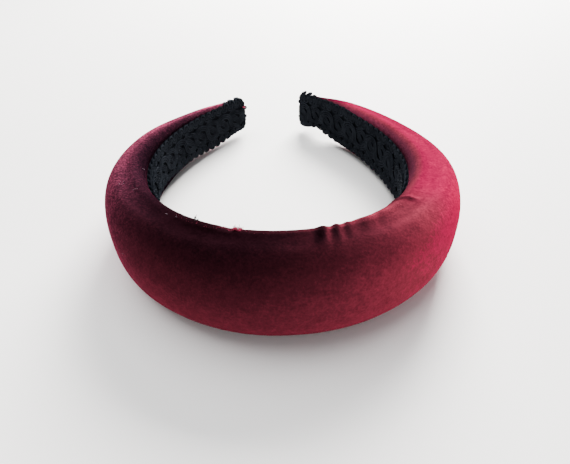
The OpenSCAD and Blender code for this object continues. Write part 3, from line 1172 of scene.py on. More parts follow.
# The braid
@dataclass(frozen=True)
class BraidPath:
    """The braid's middle line: along the inner face, round both tips and back outside."""

    plan: HoopPlan = field(default_factory=HoopPlan)
    pad: VelvetPad = field(default_factory=VelvetPad)
    width: float = 23.4
    thick: float = 1.5
    gap: float = 0.25
    right_fold: float = 10.0
    left_fold: float = 14.0
    fold_draw: float = 2.2
    corner: float = 5.5
    tuck_start: float = 1.0
    tuck_fade: float = 7.0
    step: float = 0.5

    @property
    def turn_r(self) -> float:
        """Radius of the middle line round a tip."""
        return self.pad.tip_t / 2 + self.gap + self.thick / 2

    def flat_len(self, side: int) -> float:
        """Length along the inner face on one side, before the turn."""
        arm = self.plan.left_len if side < 0 else self.plan.right_len
        return arm - self.turn_r - self.thick / 2

    def reach(self, side: int) -> float:
        """Whole length of the braid from the crown on one side."""
        fold = self.left_fold if side < 0 else self.right_fold
        return self.flat_len(side) + self.turn_r * math.pi + fold

    def frames(self, s: np.ndarray) -> tuple[np.ndarray, np.ndarray, np.ndarray]:
        """Where the middle line is at lengths s from the crown, right positive.

        Args:
            s: lengths along the middle line.

        Returns:
            Points of the plan, distances to the end of the tip, and distances d.
        """
        points, ends, places = [], [], []
        outer = self.turn_r + self.thick / 2
        for value in s:
            side = -1 if value < 0 else 1
            flat = self.flat_len(side)
            past = abs(value) - flat
            angle = past / self.turn_r
            arm = self.plan.left_len if side < 0 else self.plan.right_len
            if past <= 0:
                d, n, ahead, e = value, self.thick / 2, 0.0, arm - abs(value)
            elif angle < math.pi:
                d, ahead = side * flat, self.turn_r * math.sin(angle)
                n = self.thick / 2 + self.turn_r * (1 - math.cos(angle))
                e = outer * (1 - math.sin(angle))
            else:
                beyond = past - self.turn_r * math.pi
                d, ahead, e = side * (flat - beyond), 0.0, outer + beyond
                pad_t = float(self.pad.widths(np.array(d))[1])
                n = self.pad.seat_n + pad_t + self.gap + self.thick / 2
            x, y, heading = (float(v) for v in self.plan.place(np.array(d)))
            points.append([x + n * math.sin(heading) + side * ahead * math.cos(heading),
                           y - n * math.cos(heading) + side * ahead * math.sin(heading), 0.0])
            ends.append(e)
            places.append(d)
        return np.array(points), np.array(ends), np.array(places)

    def folded(self, s: np.ndarray) -> np.ndarray:
        """How far the braid is folded back at lengths s: 0 inside and 1 past the turn."""
        flat = np.where(s < 0, self.flat_len(-1), self.flat_len(1))
        return smooth(np.abs(s) - flat, 0, self.turn_r * math.pi)

    def halves(self, s: np.ndarray, ends: np.ndarray,
               places: np.ndarray) -> tuple[np.ndarray, np.ndarray]:
        """Upper and lower half widths, drawn in near the tips and where folded back."""
        half = self.width / 2 - round_off(self.corner, ends) - self.fold_draw * self.folded(s)
        return (half + self.plan.high_rise(places, ends),
                half - self.plan.low_draw(places, ends))

    def tuck(self, s: np.ndarray, ends: np.ndarray) -> np.ndarray:
        """How far the borders curl over the pad's edges, 1 along the folds at the tips."""
        start = np.where(s < 0, self.left_fold, self.right_fold) - self.tuck_start
        return (1 - self.folded(s)) * (1 - smooth(ends, start, start + self.tuck_fade))

    def guide(self) -> bpy.types.Mesh:
        """Makes the middle line as a chain of edges in metres, with its half widths.

        Returns:
            The mesh, with the attributes upper share, lower share and tuck.
        """
        count = round((self.reach(-1) + self.reach(1)) / self.step)
        s = np.linspace(-self.reach(-1), self.reach(1), count)
        points, ends, places = self.frames(s)
        upper, lower = self.halves(s, ends, places)
        mesh = bpy.data.meshes.new("braid guide")
        mesh.from_pydata((points * MM).tolist(), [(i, i + 1) for i in range(count - 1)], [])
        point_floats(mesh, "upper share", upper / (self.width / 2))
        point_floats(mesh, "lower share", lower / (self.width / 2))
        point_floats(mesh, "tuck", self.tuck(s, ends))
        return mesh


@dataclass(frozen=True)
class CordWave:
    """One wavy cord of the braid, or several strands side by side, in millimetres.

    The wave swings across about its middle. Overhang makes its loops wider or narrower
    than a sine's, slant leans them, cross lifts one half of each wave over the other, and
    fan lets each further strand swing more. Steps are its points in each repeat.
    """

    name: str
    repeat: float
    swing: float
    middle: float = 0.0
    phase: float = 0.0
    overhang: float = 0.0
    slant: float = 0.0
    lift: float = 0.0
    cross: float = 0.0
    strands: int = 1
    gap: float = 1.0
    fan: float = 0.0
    radius: float = 0.5
    sides: int = 6
    steps: int = 20
    wobble: float = 0.08
    seed: int = 1


class GrowthTree:
    """Geometry Nodes tree with named inputs that works on one mesh at a time."""

    NAME = ""
    FLOATS: tuple = ()
    WHOLES: tuple = ()

    def __init__(self) -> None:
        """Makes the tree's inputs and output and wires it."""
        self.tree = bpy.data.node_groups.new(self.NAME, "GeometryNodeTree")
        face = self.tree.interface
        face.new_socket(name="Guide", in_out="INPUT", socket_type="NodeSocketGeometry")
        kinds = ([(name, "NodeSocketFloat") for name in self.FLOATS]
                 + [(name, "NodeSocketInt") for name in self.WHOLES]
                 + [("Finish", "NodeSocketMaterial")])
        self.ids = {name: face.new_socket(name=name, in_out="INPUT", socket_type=kind).identifier
                    for name, kind in kinds}
        face.new_socket(name="Grown", in_out="OUTPUT", socket_type="NodeSocketGeometry")
        self.wiring = Wiring(self.tree)
        self.given = self.wiring.node("NodeGroupInput").outputs
        self.wire()

    def wire(self) -> None:
        """Joins the tree's nodes."""
        raise NotImplementedError

    def mark(self, geometry: bpy.types.NodeSocket, name: str, value: object,
             domain: str = "POINT") -> bpy.types.NodeSocket:
        """Stores a number under a name on the geometry."""
        return self.wiring.node("GeometryNodeStoreNamedAttribute",
                                {"Geometry": geometry, "Name": name, "Value": value},
                                data_type="FLOAT", domain=domain).outputs[0]

    def measure(self, curve: bpy.types.NodeSocket) -> bpy.types.NodeSocket:
        """Stores the way along each curve under the name along."""
        way = self.wiring.node("GeometryNodeSplineParameter").outputs["Length"]
        return self.mark(curve, "along", way)

    def swept(self, curve: bpy.types.NodeSocket) -> bpy.types.NodeSocket:
        """Sweeps a circle of the given sides and radius along each curve."""
        profile = self.wiring.node(
            "GeometryNodeCurvePrimitiveCircle",
            {"Resolution": self.given["Sides"], "Radius": self.given["Radius"]})
        return self.wiring.node("GeometryNodeCurveToMesh",
                                {"Curve": curve, "Profile Curve": profile.outputs[0],
                                 "Fill Caps": True}).outputs[0]

    def dress(self, mesh: bpy.types.NodeSocket) -> None:
        """Shades the mesh smooth, gives it its finish and joins it to the tree's output.

        Args:
            mesh: the socket that gives the mesh.
        """
        w = self.wiring
        soft = w.node("GeometryNodeSetShadeSmooth", {"Geometry": mesh}).outputs[0]
        whole = w.node("GeometryNodeRealizeInstances", {"Geometry": soft}).outputs[0]
        dressed = w.node("GeometryNodeSetMaterial", {"Geometry": whole,
                                                     "Material": self.given["Finish"]})
        w.node("NodeGroupOutput", {0: dressed.outputs[0]})

    def grow(self, name: str, guide: bpy.types.Mesh, values: dict) -> bpy.types.Object:
        """Works on a mesh.

        Args:
            name: name of the result.
            guide: the mesh to start from, which is used up.
            values: the value of each named input.

        Returns:
            An object with the result as a plain mesh.
        """
        base = show(name, guide)
        modifier = base.modifiers.new(name, "NODES")
        modifier.node_group = self.tree
        for key, value in values.items():
            modifier[self.ids[key]] = value
        graph = bpy.context.evaluated_depsgraph_get()
        mesh = bpy.data.meshes.new_from_object(base.evaluated_get(graph))
        bpy.data.objects.remove(base)
        return show(name, mesh)


class FibreTree(GrowthTree):
    """Tree that sweeps a round fibre along each chain of edges."""

    NAME = "fibres"
    FLOATS = ("Radius",)
    WHOLES = ("Sides",)
    # Even share of painted light for fibres that wear the cords' finish
    ridge = 0.6

    def wire(self) -> None:
        """Joins the tree's nodes: chains to curves, sweep, finish."""
        lines = self.wiring.node("GeometryNodeMeshToCurve", {"Mesh": self.given["Guide"]})
        ridged = self.mark(self.measure(lines.outputs[0]), "ridge", self.ridge)
        self.dress(self.swept(ridged))

    def sweep(self, name: str, chains: list[np.ndarray], radius: float, sides: int,
              finish: bpy.types.Material) -> bpy.types.Object:
        """Makes round fibres along chains of points in metres.

        Args:
            name: name of the piece.
            chains: rows of points, one array for each fibre.
            radius: radius of the fibres in metres.
            sides: how many sides the round section has.
            finish: the fibres' material.

        Returns:
            The piece.
        """
        edges, start = [], 0
        for chain in chains:
            edges.extend((start + i, start + i + 1) for i in range(len(chain) - 1))
            start += len(chain)
        mesh = bpy.data.meshes.new(name)
        mesh.from_pydata(np.concatenate(chains).tolist(), edges, [])
        return self.grow(name, mesh, {"Radius": radius, "Sides": sides, "Finish": finish})


class CordTree(GrowthTree):
    """Tree that lays wavy strands flat, sweeps them and bends them to a path."""

    NAME = "wavy cord"
    FLOATS = ("Start", "Repeat", "Repeats", "Swing", "Middle", "Phase", "Overhang", "Slant",
              "Lift", "Cross", "Gap", "Fan", "Radius", "Wobble", "Crown")
    WHOLES = ("Strands", "Sides", "Points", "Seed")
    brim = 10.1 * MM
    curl_r = 1.2 * MM
    curl_most = math.radians(88)
    stretch = 1.5
    shake_per_m = 420.0
    seed_step = 0.37
    strand_step = 0.11

    def wire(self) -> None:
        """Joins the tree's nodes: flat wave, sweep, bend, finish."""
        w, given = self.wiring, self.given
        line = w.node("GeometryNodeCurvePrimitiveLine", {"End": (1.0, 0.0, 0.0)})
        fine = w.node("GeometryNodeResampleCurve", {"Curve": line.outputs[0],
                                                    "Count": given["Points"]})
        copies = w.node("GeometryNodeDuplicateElements",
                        {"Geometry": fine.outputs[0], "Amount": given["Strands"]},
                        domain="SPLINE").outputs
        number = self.mark(copies["Geometry"], "strand", copies["Duplicate Index"], "CURVE")
        flat = w.node("GeometryNodeSetPosition", {"Geometry": number, "Position": self.wave()})
        cord = self.swept(self.measure(flat.outputs[0]))
        # Outward facing of the cord, stored to paint light on its outer side and shade in grooves
        facing = w.parts(w.node("GeometryNodeInputNormal").outputs[0])[2]
        bent = w.node("GeometryNodeSetPosition", {"Geometry": self.mark(cord, "ridge", facing),
                                                  "Position": self.bend()})
        self.dress(bent.outputs[0])

    def wave(self) -> bpy.types.NodeSocket:
        """Flat place of each strand's points: along, across and lift.

        Returns:
            The position in the flat braid.
        """
        w, given = self.wiring, self.given
        strand = w.named("strand")
        share = w.node("GeometryNodeSplineParameter").outputs["Factor"]
        plain = w.sum("MULTIPLY_ADD", w.sum("MULTIPLY", share, given["Repeats"]),
                      given["Repeat"], given["Start"])
        turns = w.sum("ADD", w.sum("DIVIDE", w.sum("SUBTRACT", plain, given["Crown"]),
                                   given["Repeat"]), given["Phase"])
        angle = w.sum("MULTIPLY", turns, 2 * math.pi)
        sine, cosine = w.sum("SINE", angle), w.sum("COSINE", angle)
        twice = w.sum("MULTIPLY", angle, 2.0)
        swing = w.sum("MULTIPLY_ADD", strand, given["Fan"], given["Swing"])
        crest = w.sum("ADD", given["Middle"], given["Swing"])
        across = w.sum("SUBTRACT", crest,
                       w.sum("MULTIPLY", swing, w.sum("SUBTRACT", 1.0, sine)))
        along = w.sum("MULTIPLY_ADD", given["Overhang"], w.sum("SINE", twice), plain)
        run = w.sum("MULTIPLY_ADD", w.sum("MULTIPLY", given["Overhang"], 4 * math.pi),
                    w.sum("COSINE", twice), given["Repeat"])
        rise = w.sum("MULTIPLY", w.sum("MULTIPLY", swing, 2 * math.pi), cosine)
        side = w.turn("NORMALIZE", w.vector(w.sum("MULTIPLY", rise, -1.0), run, 0.0))
        centre = w.sum("MULTIPLY", w.sum("SUBTRACT", given["Strands"], 1.0), 0.5)
        offset = w.sum("MULTIPLY", w.sum("SUBTRACT", strand, centre), given["Gap"])
        lift = w.sum("MULTIPLY_ADD", given["Cross"], cosine, given["Lift"])
        slanted = w.sum("MULTIPLY_ADD", given["Slant"], across, along)
        flat = w.turn("ADD", w.vector(slanted, across, lift), w.scaled(side, offset))
        spot = w.turn("ADD", flat,
                      w.vector(w.sum("MULTIPLY", given["Seed"], self.seed_step),
                               w.sum("MULTIPLY", strand, self.strand_step), 0.0))
        noise = w.noise(spot, self.shake_per_m, 1.0)["Color"]
        shake = w.turn("SUBTRACT", noise, (0.5, 0.5, 0.5))
        return w.turn("ADD", flat, w.scaled(shake, given["Wobble"]))

    def bend(self) -> bpy.types.NodeSocket:
        """Place on the guide of each point of the flat braid.

        Returns:
            The position along the band.
        """
        w = self.wiring
        path = w.node("GeometryNodeMeshToCurve", {"Mesh": self.given["Guide"]}).outputs[0]
        flat = w.parts(w.node("GeometryNodeInputPosition").outputs[0])
        sampled = []
        for name in ("upper share", "lower share", "tuck"):
            sample = w.node("GeometryNodeSampleCurve",
                            {"Curves": path, "Value": w.named(name), "Length": flat[0]},
                            mode="LENGTH", data_type="FLOAT", use_all_curves=True)
            sampled.append(sample.outputs["Value"])
        upper_share, lower_share, tuck = sampled
        upper = w.sum("GREATER_THAN", flat[1], 0.0)
        share = w.node("ShaderNodeMix", {"Factor": upper, 2: lower_share, 3: upper_share},
                       data_type="FLOAT").outputs[0]
        across, lift = self.curl(w.sum("ABSOLUTE", flat[1]), flat[2], tuck)
        facing = w.turn("CROSS_PRODUCT", (0.0, 0.0, 1.0), sample.outputs["Tangent"])
        out = w.scaled(facing, lift)
        side = w.sum("MULTIPLY", w.sum("SIGN", flat[1]), share)
        up = w.vector(0.0, 0.0, w.sum("MULTIPLY", across, side))
        return w.turn("ADD", w.turn("ADD", sample.outputs["Position"], out), up)

    def curl(self, across: bpy.types.NodeSocket, lift: bpy.types.NodeSocket,
             tuck: bpy.types.NodeSocket) -> tuple[bpy.types.NodeSocket, bpy.types.NodeSocket]:
        """Curls what lies beyond the pad's edge over that edge.

        Args:
            across: distance from the braid's middle.
            lift: height over the braid's middle plane.
            tuck: how far the border is curled over, from 0 to 1.

        Returns:
            Distance from the middle and height of the curled braid.
        """
        w = self.wiring
        beyond = w.sum("MAXIMUM", w.sum("SUBTRACT", across, self.brim), 0.0)
        length = w.sum("MULTIPLY", beyond, w.sum("MULTIPLY_ADD", tuck, self.stretch, 1.0))
        angle = w.sum("MULTIPLY", w.sum("MINIMUM", w.sum("DIVIDE", length, self.curl_r),
                                        self.curl_most), tuck)
        sine, cosine = w.sum("SINE", angle), w.sum("COSINE", angle)
        reach = w.sum("ADD", lift, self.curl_r)
        rest = w.sum("SUBTRACT", length, w.sum("MULTIPLY", angle, self.curl_r))
        flat = w.sum("MINIMUM", across, self.brim)
        new_across = w.sum("ADD", w.sum("MULTIPLY_ADD", reach, sine, flat),
                           w.sum("MULTIPLY", rest, cosine))
        new_lift = w.sum("SUBTRACT", w.sum("MULTIPLY_ADD", reach, cosine, -self.curl_r),
                         w.sum("MULTIPLY", rest, sine))
        return new_across, new_lift


@dataclass(frozen=True)
class Loop:
    """A loose cord loop at the end of a tip, in millimetres."""

    z: float
    wide: float
    reach: float
    lean: float


@dataclass
class ScrollBraid:
    """Black scroll braid: tape, ribbed scalloped borders and crossing scroll cords."""

    path: BraidPath = field(default_factory=BraidPath)
    rest: Resting = field(default_factory=Resting)
    finish: GimpFinish = field(default_factory=GimpFinish)
    tape_finish: GimpFinish = field(default_factory=lambda: GimpFinish(
        name="black tape", base=(0.0032, 0.0038, 0.0050), light=(0.0150, 0.0170, 0.0210)))
    scallop: float = 5.0
    border_outer: float = 11.7
    border_inner: float = 7.3
    rib_r: float = 0.62
    rib_gap: float = 1.25
    scallop_neck: float = 0.088
    scroll: float = 20.0
    scroll_phase: float = -0.18
    tape_step: float = 0.9
    tape_columns: int = 13
    tape_short: float = 0.2
    tape_back: float = 0.02
    tape_front: float = -0.15
    tape_inset: float = 0.95
    tape_ripple: tuple = (0.05, 9.0)
    # Even share of the cords' painted light over all of the tape
    tape_ridge: float = 0.5
    loop_r: float = 0.55
    loop_points: int = 9
    loop_sides: int = 6
    # Painted shade on the braid near the left end of the crown: its share and place
    dim: float = 0.8
    dim_x: tuple = (-20, -50)
    dim_y: tuple = (-24, 46)
    left_loops: tuple = (Loop(6.0, 1.9, 0.6, 0.6), Loop(3.2, 1.8, 1.9, -0.4),
                         Loop(0.6, 1.9, 0.9, 0.5), Loop(-2.2, 2.0, 1.1, -0.6),
                         Loop(-4.6, 1.8, 0.9, 0.3), Loop(-7.0, 1.8, 0.5, 0.2))
    right_loops: tuple = (Loop(7.2, 2.0, 0.9, 0.5), Loop(4.6, 1.9, 1.1, -0.5),
                          Loop(2.0, 1.8, 0.7, 0.4), Loop(-3.4, 1.7, 0.5, 0.5),
                          Loop(-5.2, 1.5, 1.0, -0.3), Loop(-7.0, 1.8, 0.9, 0.2))

    def borders(self) -> list[CordWave]:
        """The cord of each scalloped border, which runs to the edge and back.

        Returns:
            The upper and the lower cord.
        """
        outer = self.border_outer - self.rib_r - self.rib_gap / 2
        swing, middle = (outer - self.border_inner) / 2, (outer + self.border_inner) / 2
        common = dict(repeat=self.scallop, overhang=-self.scallop_neck * self.scallop,
                      slant=0.30, radius=self.rib_r, sides=6, steps=18, lift=0.20, strands=2,
                      gap=self.rib_gap, wobble=0.22, phase=-0.25)
        return [
            CordWave("upper border", middle=middle, swing=swing, seed=3, **common),
            CordWave("lower border", middle=-middle, swing=-swing, seed=5, **common),
        ]

    def scrolls(self) -> list[CordWave]:
        """The cords of the middle: two crossing waves, a plait and fans at both borders.

        Returns:
            The cords in the order in which they are made.
        """
        scroll = dict(repeat=self.scroll, strands=3, wobble=0.25)
        fan = dict(repeat=self.scroll / 2, phase=0.25, strands=3, gap=0.5, lift=0.05,
                   radius=0.40, sides=5, steps=12, wobble=0.16)
        return [
            CordWave("scroll", phase=self.scroll_phase, swing=4.6, overhang=-1.3, lift=0.55,
                     cross=0.28, gap=1.15, radius=0.56, steps=28, seed=11, **scroll),
            CordWave("counter scroll", phase=self.scroll_phase + 0.5, swing=4.4,
                     overhang=-0.9, lift=0.26, cross=0.22, gap=0.95, radius=0.44, steps=26,
                     seed=13, **scroll),
            CordWave("plait", repeat=self.scroll / 2, swing=1.6, phase=0.125, lift=0.22,
                     cross=0.2, strands=4, gap=0.95, radius=0.48, steps=14, seed=17,
                     wobble=0.3),
            CordWave("upper fan", middle=5.5, swing=0.7, fan=0.55, seed=19, **fan),
            CordWave("lower fan", middle=-5.5, swing=-0.7, fan=-0.55, seed=23, **fan),
        ]

    def cords(self, name: str, waves: list[CordWave], tree: CordTree, guide: bpy.types.Mesh,
              material: bpy.types.Material) -> bpy.types.Object:
        """Makes one piece of several wavy cords.

        Args:
            name: name of the piece.
            waves: the cords.
            tree: the tree that makes a cord.
            guide: the mesh of the braid's middle line.
            material: the cords' material.

        Returns:
            The piece, a plain mesh where the band rests.
        """
        line = coordinates(guide) / MM
        length = float(np.linalg.norm(np.diff(line, axis=0), axis=1).sum())
        made = []
        for wave in waves:
            margin = wave.radius + abs(wave.overhang) + abs(wave.slant * wave.swing)
            shift = abs(wave.slant * wave.middle)
            repeats = (length - 2 * margin) / wave.repeat
            values = {
                "Start": (margin - shift) * MM, "Repeat": wave.repeat * MM,
                "Repeats": repeats, "Swing": wave.swing * MM, "Middle": wave.middle * MM,
                "Phase": wave.phase, "Overhang": wave.overhang * MM,
                "Slant": wave.slant * (1 if wave.middle >= 0 else -1),
                "Lift": wave.lift * MM, "Cross": wave.cross * MM, "Gap": wave.gap * MM,
                "Fan": wave.fan * MM, "Radius": wave.radius * MM, "Wobble": wave.wobble * MM,
                "Crown": self.path.reach(-1) * MM, "Strands": wave.strands,
                "Sides": wave.sides, "Points": int(repeats * wave.steps), "Seed": wave.seed,
                "Finish": material,
            }
            made.append(tree.grow(wave.name, guide.copy(), values))
        piece = join(name, made)
        laid = self.rest.lay(coordinates(piece.data) / MM)
        move_to(piece.data, laid)
        x, y = laid[:, 0] / MM, laid[:, 1] / MM
        # Painted shade on the braid near the left end of the crown
        point_floats(piece.data, "dim",
                     self.dim * smooth(x, *self.dim_x) * hump(y, *self.dim_y))
        return piece

    def tape(self) -> bpy.types.Object:
        """Makes the plain tape under the cords.

        Returns:
            The piece, where the band rests.
        """
        path = self.path
        count = round((path.reach(-1) + path.reach(1)) / self.tape_step)
        s = np.linspace(self.tape_short - path.reach(-1), path.reach(1) - self.tape_short,
                        count)
        points, ends, places = path.frames(s)
        upper, lower = path.halves(s, ends, places)
        ahead = np.gradient(points, axis=0)
        ahead /= np.linalg.norm(ahead, axis=1, keepdims=True)
        facing = np.cross([0.0, 0.0, 1.0], ahead)
        shares = np.linspace(1, -1, self.tape_columns)
        high, often = self.tape_ripple
        h_back = np.full(len(shares), self.tape_back - path.thick / 2)
        h_front = self.tape_front + high * np.cos(shares * often)
        h = np.concatenate([h_back, h_front])
        rings = []
        for point, face, up, low in zip(points, facing, upper, lower):
            z = shares * (np.where(shares > 0, up, low) - self.tape_inset)
            z = np.concatenate([z, z[::-1]])
            rings.append(point + h[:, None] * face + z[:, None] * [0, 0, 1.0])
        mesh = grid_mesh("braid tape", self.rest.lay(np.array(rings)))
        point_floats(mesh, "along", np.zeros(len(mesh.vertices)))
        point_floats(mesh, "ridge", np.full(len(mesh.vertices), self.tape_ridge))
        mesh.materials.append(self.tape_finish.material())
        return show("braid_tape", mesh)

    def loops(self, material: bpy.types.Material) -> bpy.types.Object:
        """Makes the loose cord loops along the ends of both tips.

        Args:
            material: the cords' material.

        Returns:
            The piece, a plain mesh where the band rests.
        """
        chains = []
        outer_r = self.path.turn_r + self.path.thick / 2
        a = np.linspace(0.0, math.pi, self.loop_points)
        for side, loops in ((-1, self.left_loops), (1, self.right_loops)):
            flat = np.array(side * self.path.flat_len(side))
            x, y, heading = (float(v) for v in self.path.plan.place(flat))
            ahead = side * np.array([math.cos(heading), math.sin(heading), 0.0])
            out = np.array([math.sin(heading), -math.cos(heading), 0.0])
            middle = np.array([x, y, 0.0]) + out * outer_r
            for loop in loops:
                chain = (middle + ahead * (outer_r + loop.reach * np.sin(a))[:, None]
                         + out * (loop.lean * np.sin(a / 2))[:, None])
                chain[:, 2] = loop.z - loop.wide / 2 * np.cos(a)
                chains.append(self.rest.lay(chain))
        return FibreTree().sweep("braid_loops", chains, self.loop_r * MM, self.loop_sides,
                                 material)

    def build(self) -> list[bpy.types.Object]:
        """Returns:
            The pieces.
        """
        tree, guide = CordTree(), self.path.guide()
        material = self.finish.material()
        pieces = [
            self.tape(),
            self.cords("braid_borders", self.borders(), tree, guide, material),
            self.cords("braid_scrolls", self.scrolls(), tree, guide, material),
            self.loops(material),
        ]
        for piece in pieces:
            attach(piece, BODY)
            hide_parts("braid_lining")
        return pieces


# Loose fibres
class Fibre(Enum):
    """Kinds of loose fibre on the band."""

    CUT_PILE = PlainFinish("cut pile", (0.34, 0.026, 0.070))
    LINT = PlainFinish("pale lint", (0.20, 0.15, 0.18))
    BLACK = PlainFinish("black thread", (0.004, 0.004, 0.005))
    FUZZ = PlainFinish("grey fuzz", (0.048, 0.052, 0.064))


@dataclass(frozen=True)
class Fluff:
    """A small bundle of loose fibres on the cover, in millimetres and degrees.

    It lies within wide along the band and high round it from its place d and turn. Stand
    is how upright its fibres are, from 0 to 1, and lift how far they start off the cover.
    """

    kind: Fibre
    d: float
    turn: float
    wide: float
    high: float
    count: int
    length: float
    stand: float
    radius: float = 0.06
    seed: int = 1
    lift: float = 0.05


@dataclass
class Fluffs:
    """Loose fibres on the cover and the braid: the raw tuft, threads, fuzz and lint."""

    pad: VelvetPad
    points: int = 5
    sides: int = 4
    stray: float = 0.35
    curl: float = 0.5
    lengths: tuple = (0.6, 1.2)
    bundles: tuple = (
        Fluff(Fibre.CUT_PILE, -16.7, -17.0, 1.3, 5.0, 150, 0.8, 0.6, 0.08, 2),
        Fluff(Fibre.CUT_PILE, -21.5, -24.0, 0.9, 4.0, 16, 0.4, 0.6, 0.05, 3),
        Fluff(Fibre.CUT_PILE, 0.0, -10.0, 40.0, 7.0, 240, 0.45, 0.4, 0.022, 16),
        Fluff(Fibre.CUT_PILE, -188.6, 287.0, 0.6, 1.2, 24, 0.6, 0.5, 0.07, 4, 2.6),
        Fluff(Fibre.BLACK, -31.6, -19.0, 1.0, 3.0, 26, 1.3, 0.6, 0.1, 5),
        Fluff(Fibre.LINT, -38.2, -4.0, 0.5, 2.0, 3, 0.8, 0.3, 0.035, 6),
        Fluff(Fibre.LINT, -42.0, -4.0, 0.5, 2.0, 3, 0.8, 0.3, 0.035, 7),
        Fluff(Fibre.LINT, -71.5, 18.0, 2.4, 9.0, 9, 0.8, 0.2, 0.03, 8),
        Fluff(Fibre.LINT, -85.8, -50.0, 0.6, 2.0, 4, 1.1, 0.5, 0.04, 9),
        Fluff(Fibre.LINT, -65.0, -8.0, 0.5, 2.0, 3, 0.7, 0.2, 0.03, 10),
        Fluff(Fibre.LINT, -50.8, 74.0, 0.6, 2.0, 3, 0.7, 0.2, 0.03, 11),
        Fluff(Fibre.FUZZ, -88.0, 282.0, 15.0, 6.0, 60, 0.6, 0.7, 0.035, 12, 2.2),
        Fluff(Fibre.FUZZ, 74.0, 283.5, 24.0, 3.4, 150, 0.7, 0.7, 0.04, 13, 2.2),
        Fluff(Fibre.FUZZ, -128.0, 280.0, 26.0, 7.0, 40, 0.7, 0.7, 0.035, 14, 2.2),
        Fluff(Fibre.FUZZ, 176.0, 280.0, 10.0, 6.0, 14, 0.7, 0.7, 0.035, 15, 2.2),
    )

    def chains(self, bundle: Fluff) -> list[np.ndarray]:
        """Curved lines of one bundle's fibres, in metres where the band rests.

        Args:
            bundle: the bundle.

        Returns:
            Rows of points, one array for each fibre.
        """
        rng = np.random.default_rng(bundle.seed)
        lines = []
        for _ in range(bundle.count):
            d = bundle.d + bundle.wide * rng.uniform(-1, 1)
            turn = bundle.turn + bundle.high * rng.uniform(-1, 1)
            foot, out = self.pad.surface(d, turn)
            way = rng.normal(size=3)
            way -= out * np.dot(way, out)
            way = way / np.linalg.norm(way) * (1 - bundle.stand) + out * bundle.stand
            way += self.stray * rng.normal(size=3)
            curl = self.curl * rng.normal(size=3)
            t = np.linspace(0, 1, self.points)[:, None] * bundle.length
            t = t * rng.uniform(*self.lengths)
            lines.append(self.pad.rest.lay(foot + way * t + curl * t**2 / bundle.length
                                           + out * bundle.lift))
        return lines

    def build(self) -> list[bpy.types.Object]:
        """Returns:
            The pieces.
        """
        tree, pieces = FibreTree(), []
        for kind in Fibre:
            material = kind.value.material()
            made = [tree.sweep(kind.value.name, self.chains(bundle), bundle.radius * MM,
                               self.sides, material)
                    for bundle in self.bundles if bundle.kind is kind]
            piece = join(kind.value.name.replace(" ", "_"), made)
            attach(piece, BODY)
            pieces.append(piece)
        return pieces


def join(name: str, pieces: list[bpy.types.Object]) -> bpy.types.Object:
    """Joins pieces that lie at the origin into one.

    Args:
        name: name of the result.
        pieces: the pieces, of which the first is kept.

    Returns:
        The joined piece.
    """
    bpy.ops.object.select_all(action="DESELECT")
    for piece in pieces:
        piece.select_set(True)
    bpy.context.view_layer.objects.active = pieces[0]
    if len(pieces) > 1:
        bpy.ops.object.join()
    pieces[0].name = name
    pieces[0].data.name = name
    return pieces[0]


# Floor, light and camera
@dataclass(frozen=True)
class Lamp:
    """One soft square lamp, with its place and size in metres."""

    name: str
    place: tuple
    size: float
    watts: float
    colour: tuple

    def hang(self) -> None:
        """Hangs the lamp so that it points at the band."""
        data = bpy.data.lights.new(self.name, "AREA")
        data.size, data.energy, data.color = self.size, self.watts, self.colour
        lamp = bpy.data.objects.new(self.name, data)
        bpy.context.scene.collection.objects.link(lamp)
        away = np.array(self.place, float)
        back = away / np.linalg.norm(away)
        right = np.cross([0, 0, 1.0], back)
        right /= np.linalg.norm(right)
        lamp.matrix_world = pose(right, np.cross(back, right), back, away)


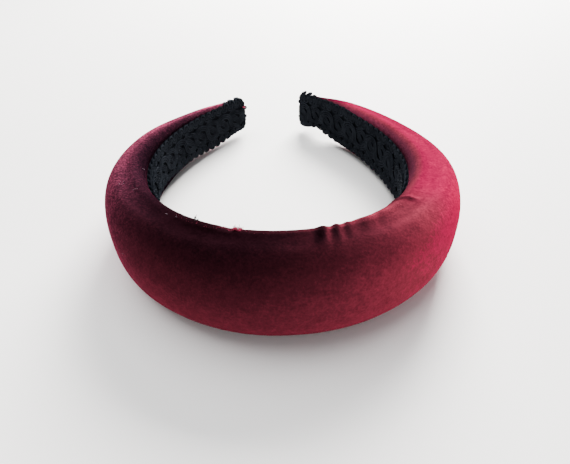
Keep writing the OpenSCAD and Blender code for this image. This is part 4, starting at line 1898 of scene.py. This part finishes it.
@dataclass(frozen=True)
class Studio:
    """Plain pale floor, soft light from the back right, and the photograph's camera."""

    floor: PlainFinish = PlainFinish("pale floor", (0.94, 0.925, 0.905), 0.6, 0.25)
    floor_half: float = 3.0
    lamps: tuple = (
        Lamp("window", (0.30, 0.85, 0.62), 0.6, 74.0, (1.0, 0.985, 0.965)),
        Lamp("ceiling", (-0.25, 0.25, 1.2), 1.2, 24.0, (0.99, 0.99, 1.0)),
        Lamp("front fill", (0.2, -1.0, 0.5), 0.8, 1.5, (1.0, 0.98, 0.96)),
    )
    sky_colour: tuple = (0.93, 0.96, 1.0, 1.0)
    sky_strength: float = 0.42
    image_w: int = 570
    sensor_mm: float = 36.0
    focal_px: float = 435.925
    pitch: float = 0.7173
    yaw: float = 0.0492
    roll: float = -0.0212
    eye_mm: tuple = (-7.3487, -179.0957, 139.6192)
    nearest: float = 0.01

    def lay_floor(self) -> None:
        """Makes the floor and marks it as stage."""
        size = self.floor_half
        mesh = bpy.data.meshes.new("floor")
        mesh.from_pydata([(-size, -size, 0), (size, -size, 0), (size, size, 0), (-size, size, 0)],
                         [], [(0, 1, 2, 3)])
        mesh.materials.append(self.floor.material())
        show("floor", mesh)

    def light(self) -> None:
        """Hangs the lamps and sets the light from all round."""
        for lamp in self.lamps:
            lamp.hang()
        world = bpy.data.worlds.new("studio")
        world.use_nodes = True
        sky = world.node_tree.nodes["Background"]
        sky.inputs["Color"].default_value = self.sky_colour
        sky.inputs["Strength"].default_value = self.sky_strength
        bpy.context.scene.world = world

    def camera(self) -> None:
        """Puts the camera where the photograph was taken."""
        level = np.array([math.sin(self.yaw), math.cos(self.yaw), 0.0])
        side = np.array([math.cos(self.yaw), -math.sin(self.yaw), 0.0])
        up = np.array([0.0, 0.0, 1.0])
        ahead = level * math.cos(self.pitch) - up * math.sin(self.pitch)
        head = level * math.sin(self.pitch) + up * math.cos(self.pitch)
        right = side * math.cos(self.roll) + head * math.sin(self.roll)
        top = -side * math.sin(self.roll) + head * math.cos(self.roll)
        data = bpy.data.cameras.new("camera")
        data.sensor_width = self.sensor_mm
        data.lens = self.focal_px * self.sensor_mm / self.image_w
        data.clip_start = self.nearest
        eye = bpy.data.objects.new("camera", data)
        bpy.context.scene.collection.objects.link(eye)
        eye.matrix_world = pose(right, top, -ahead, MM * np.array(self.eye_mm))
        bpy.context.scene.camera = eye

    def build(self) -> None:
        """Sets floor, lamps and camera."""
        self.lay_floor()
        self.light()
        self.camera()


def pose(x: np.ndarray, y: np.ndarray, z: np.ndarray, place: np.ndarray) -> Matrix:
    """Matrix of an object with these axes at this place.

    Args:
        x: the object's X axis.
        y: its Y axis.
        z: its Z axis.
        place: its place in metres.

    Returns:
        The matrix.
    """
    rows = np.eye(4)
    rows[:3, 0], rows[:3, 1], rows[:3, 2], rows[:3, 3] = x, y, z, place
    return Matrix(rows.tolist())


def main() -> None:
    """Builds the pieces in order and notes the size of the result."""
    logging.basicConfig(level=logging.INFO, format="%(name)s: %(message)s")
    Studio().build()
    pad = VelvetPad()
    for piece in (pad.build(), *ScrollBraid(BraidPath(pad=pad)).build(), *Fluffs(pad).build()):
        log.info("%s: %d faces", piece.name, len(piece.data.polygons))
    bpy.context.view_layer.update()


if __name__ == "__main__":
    main()
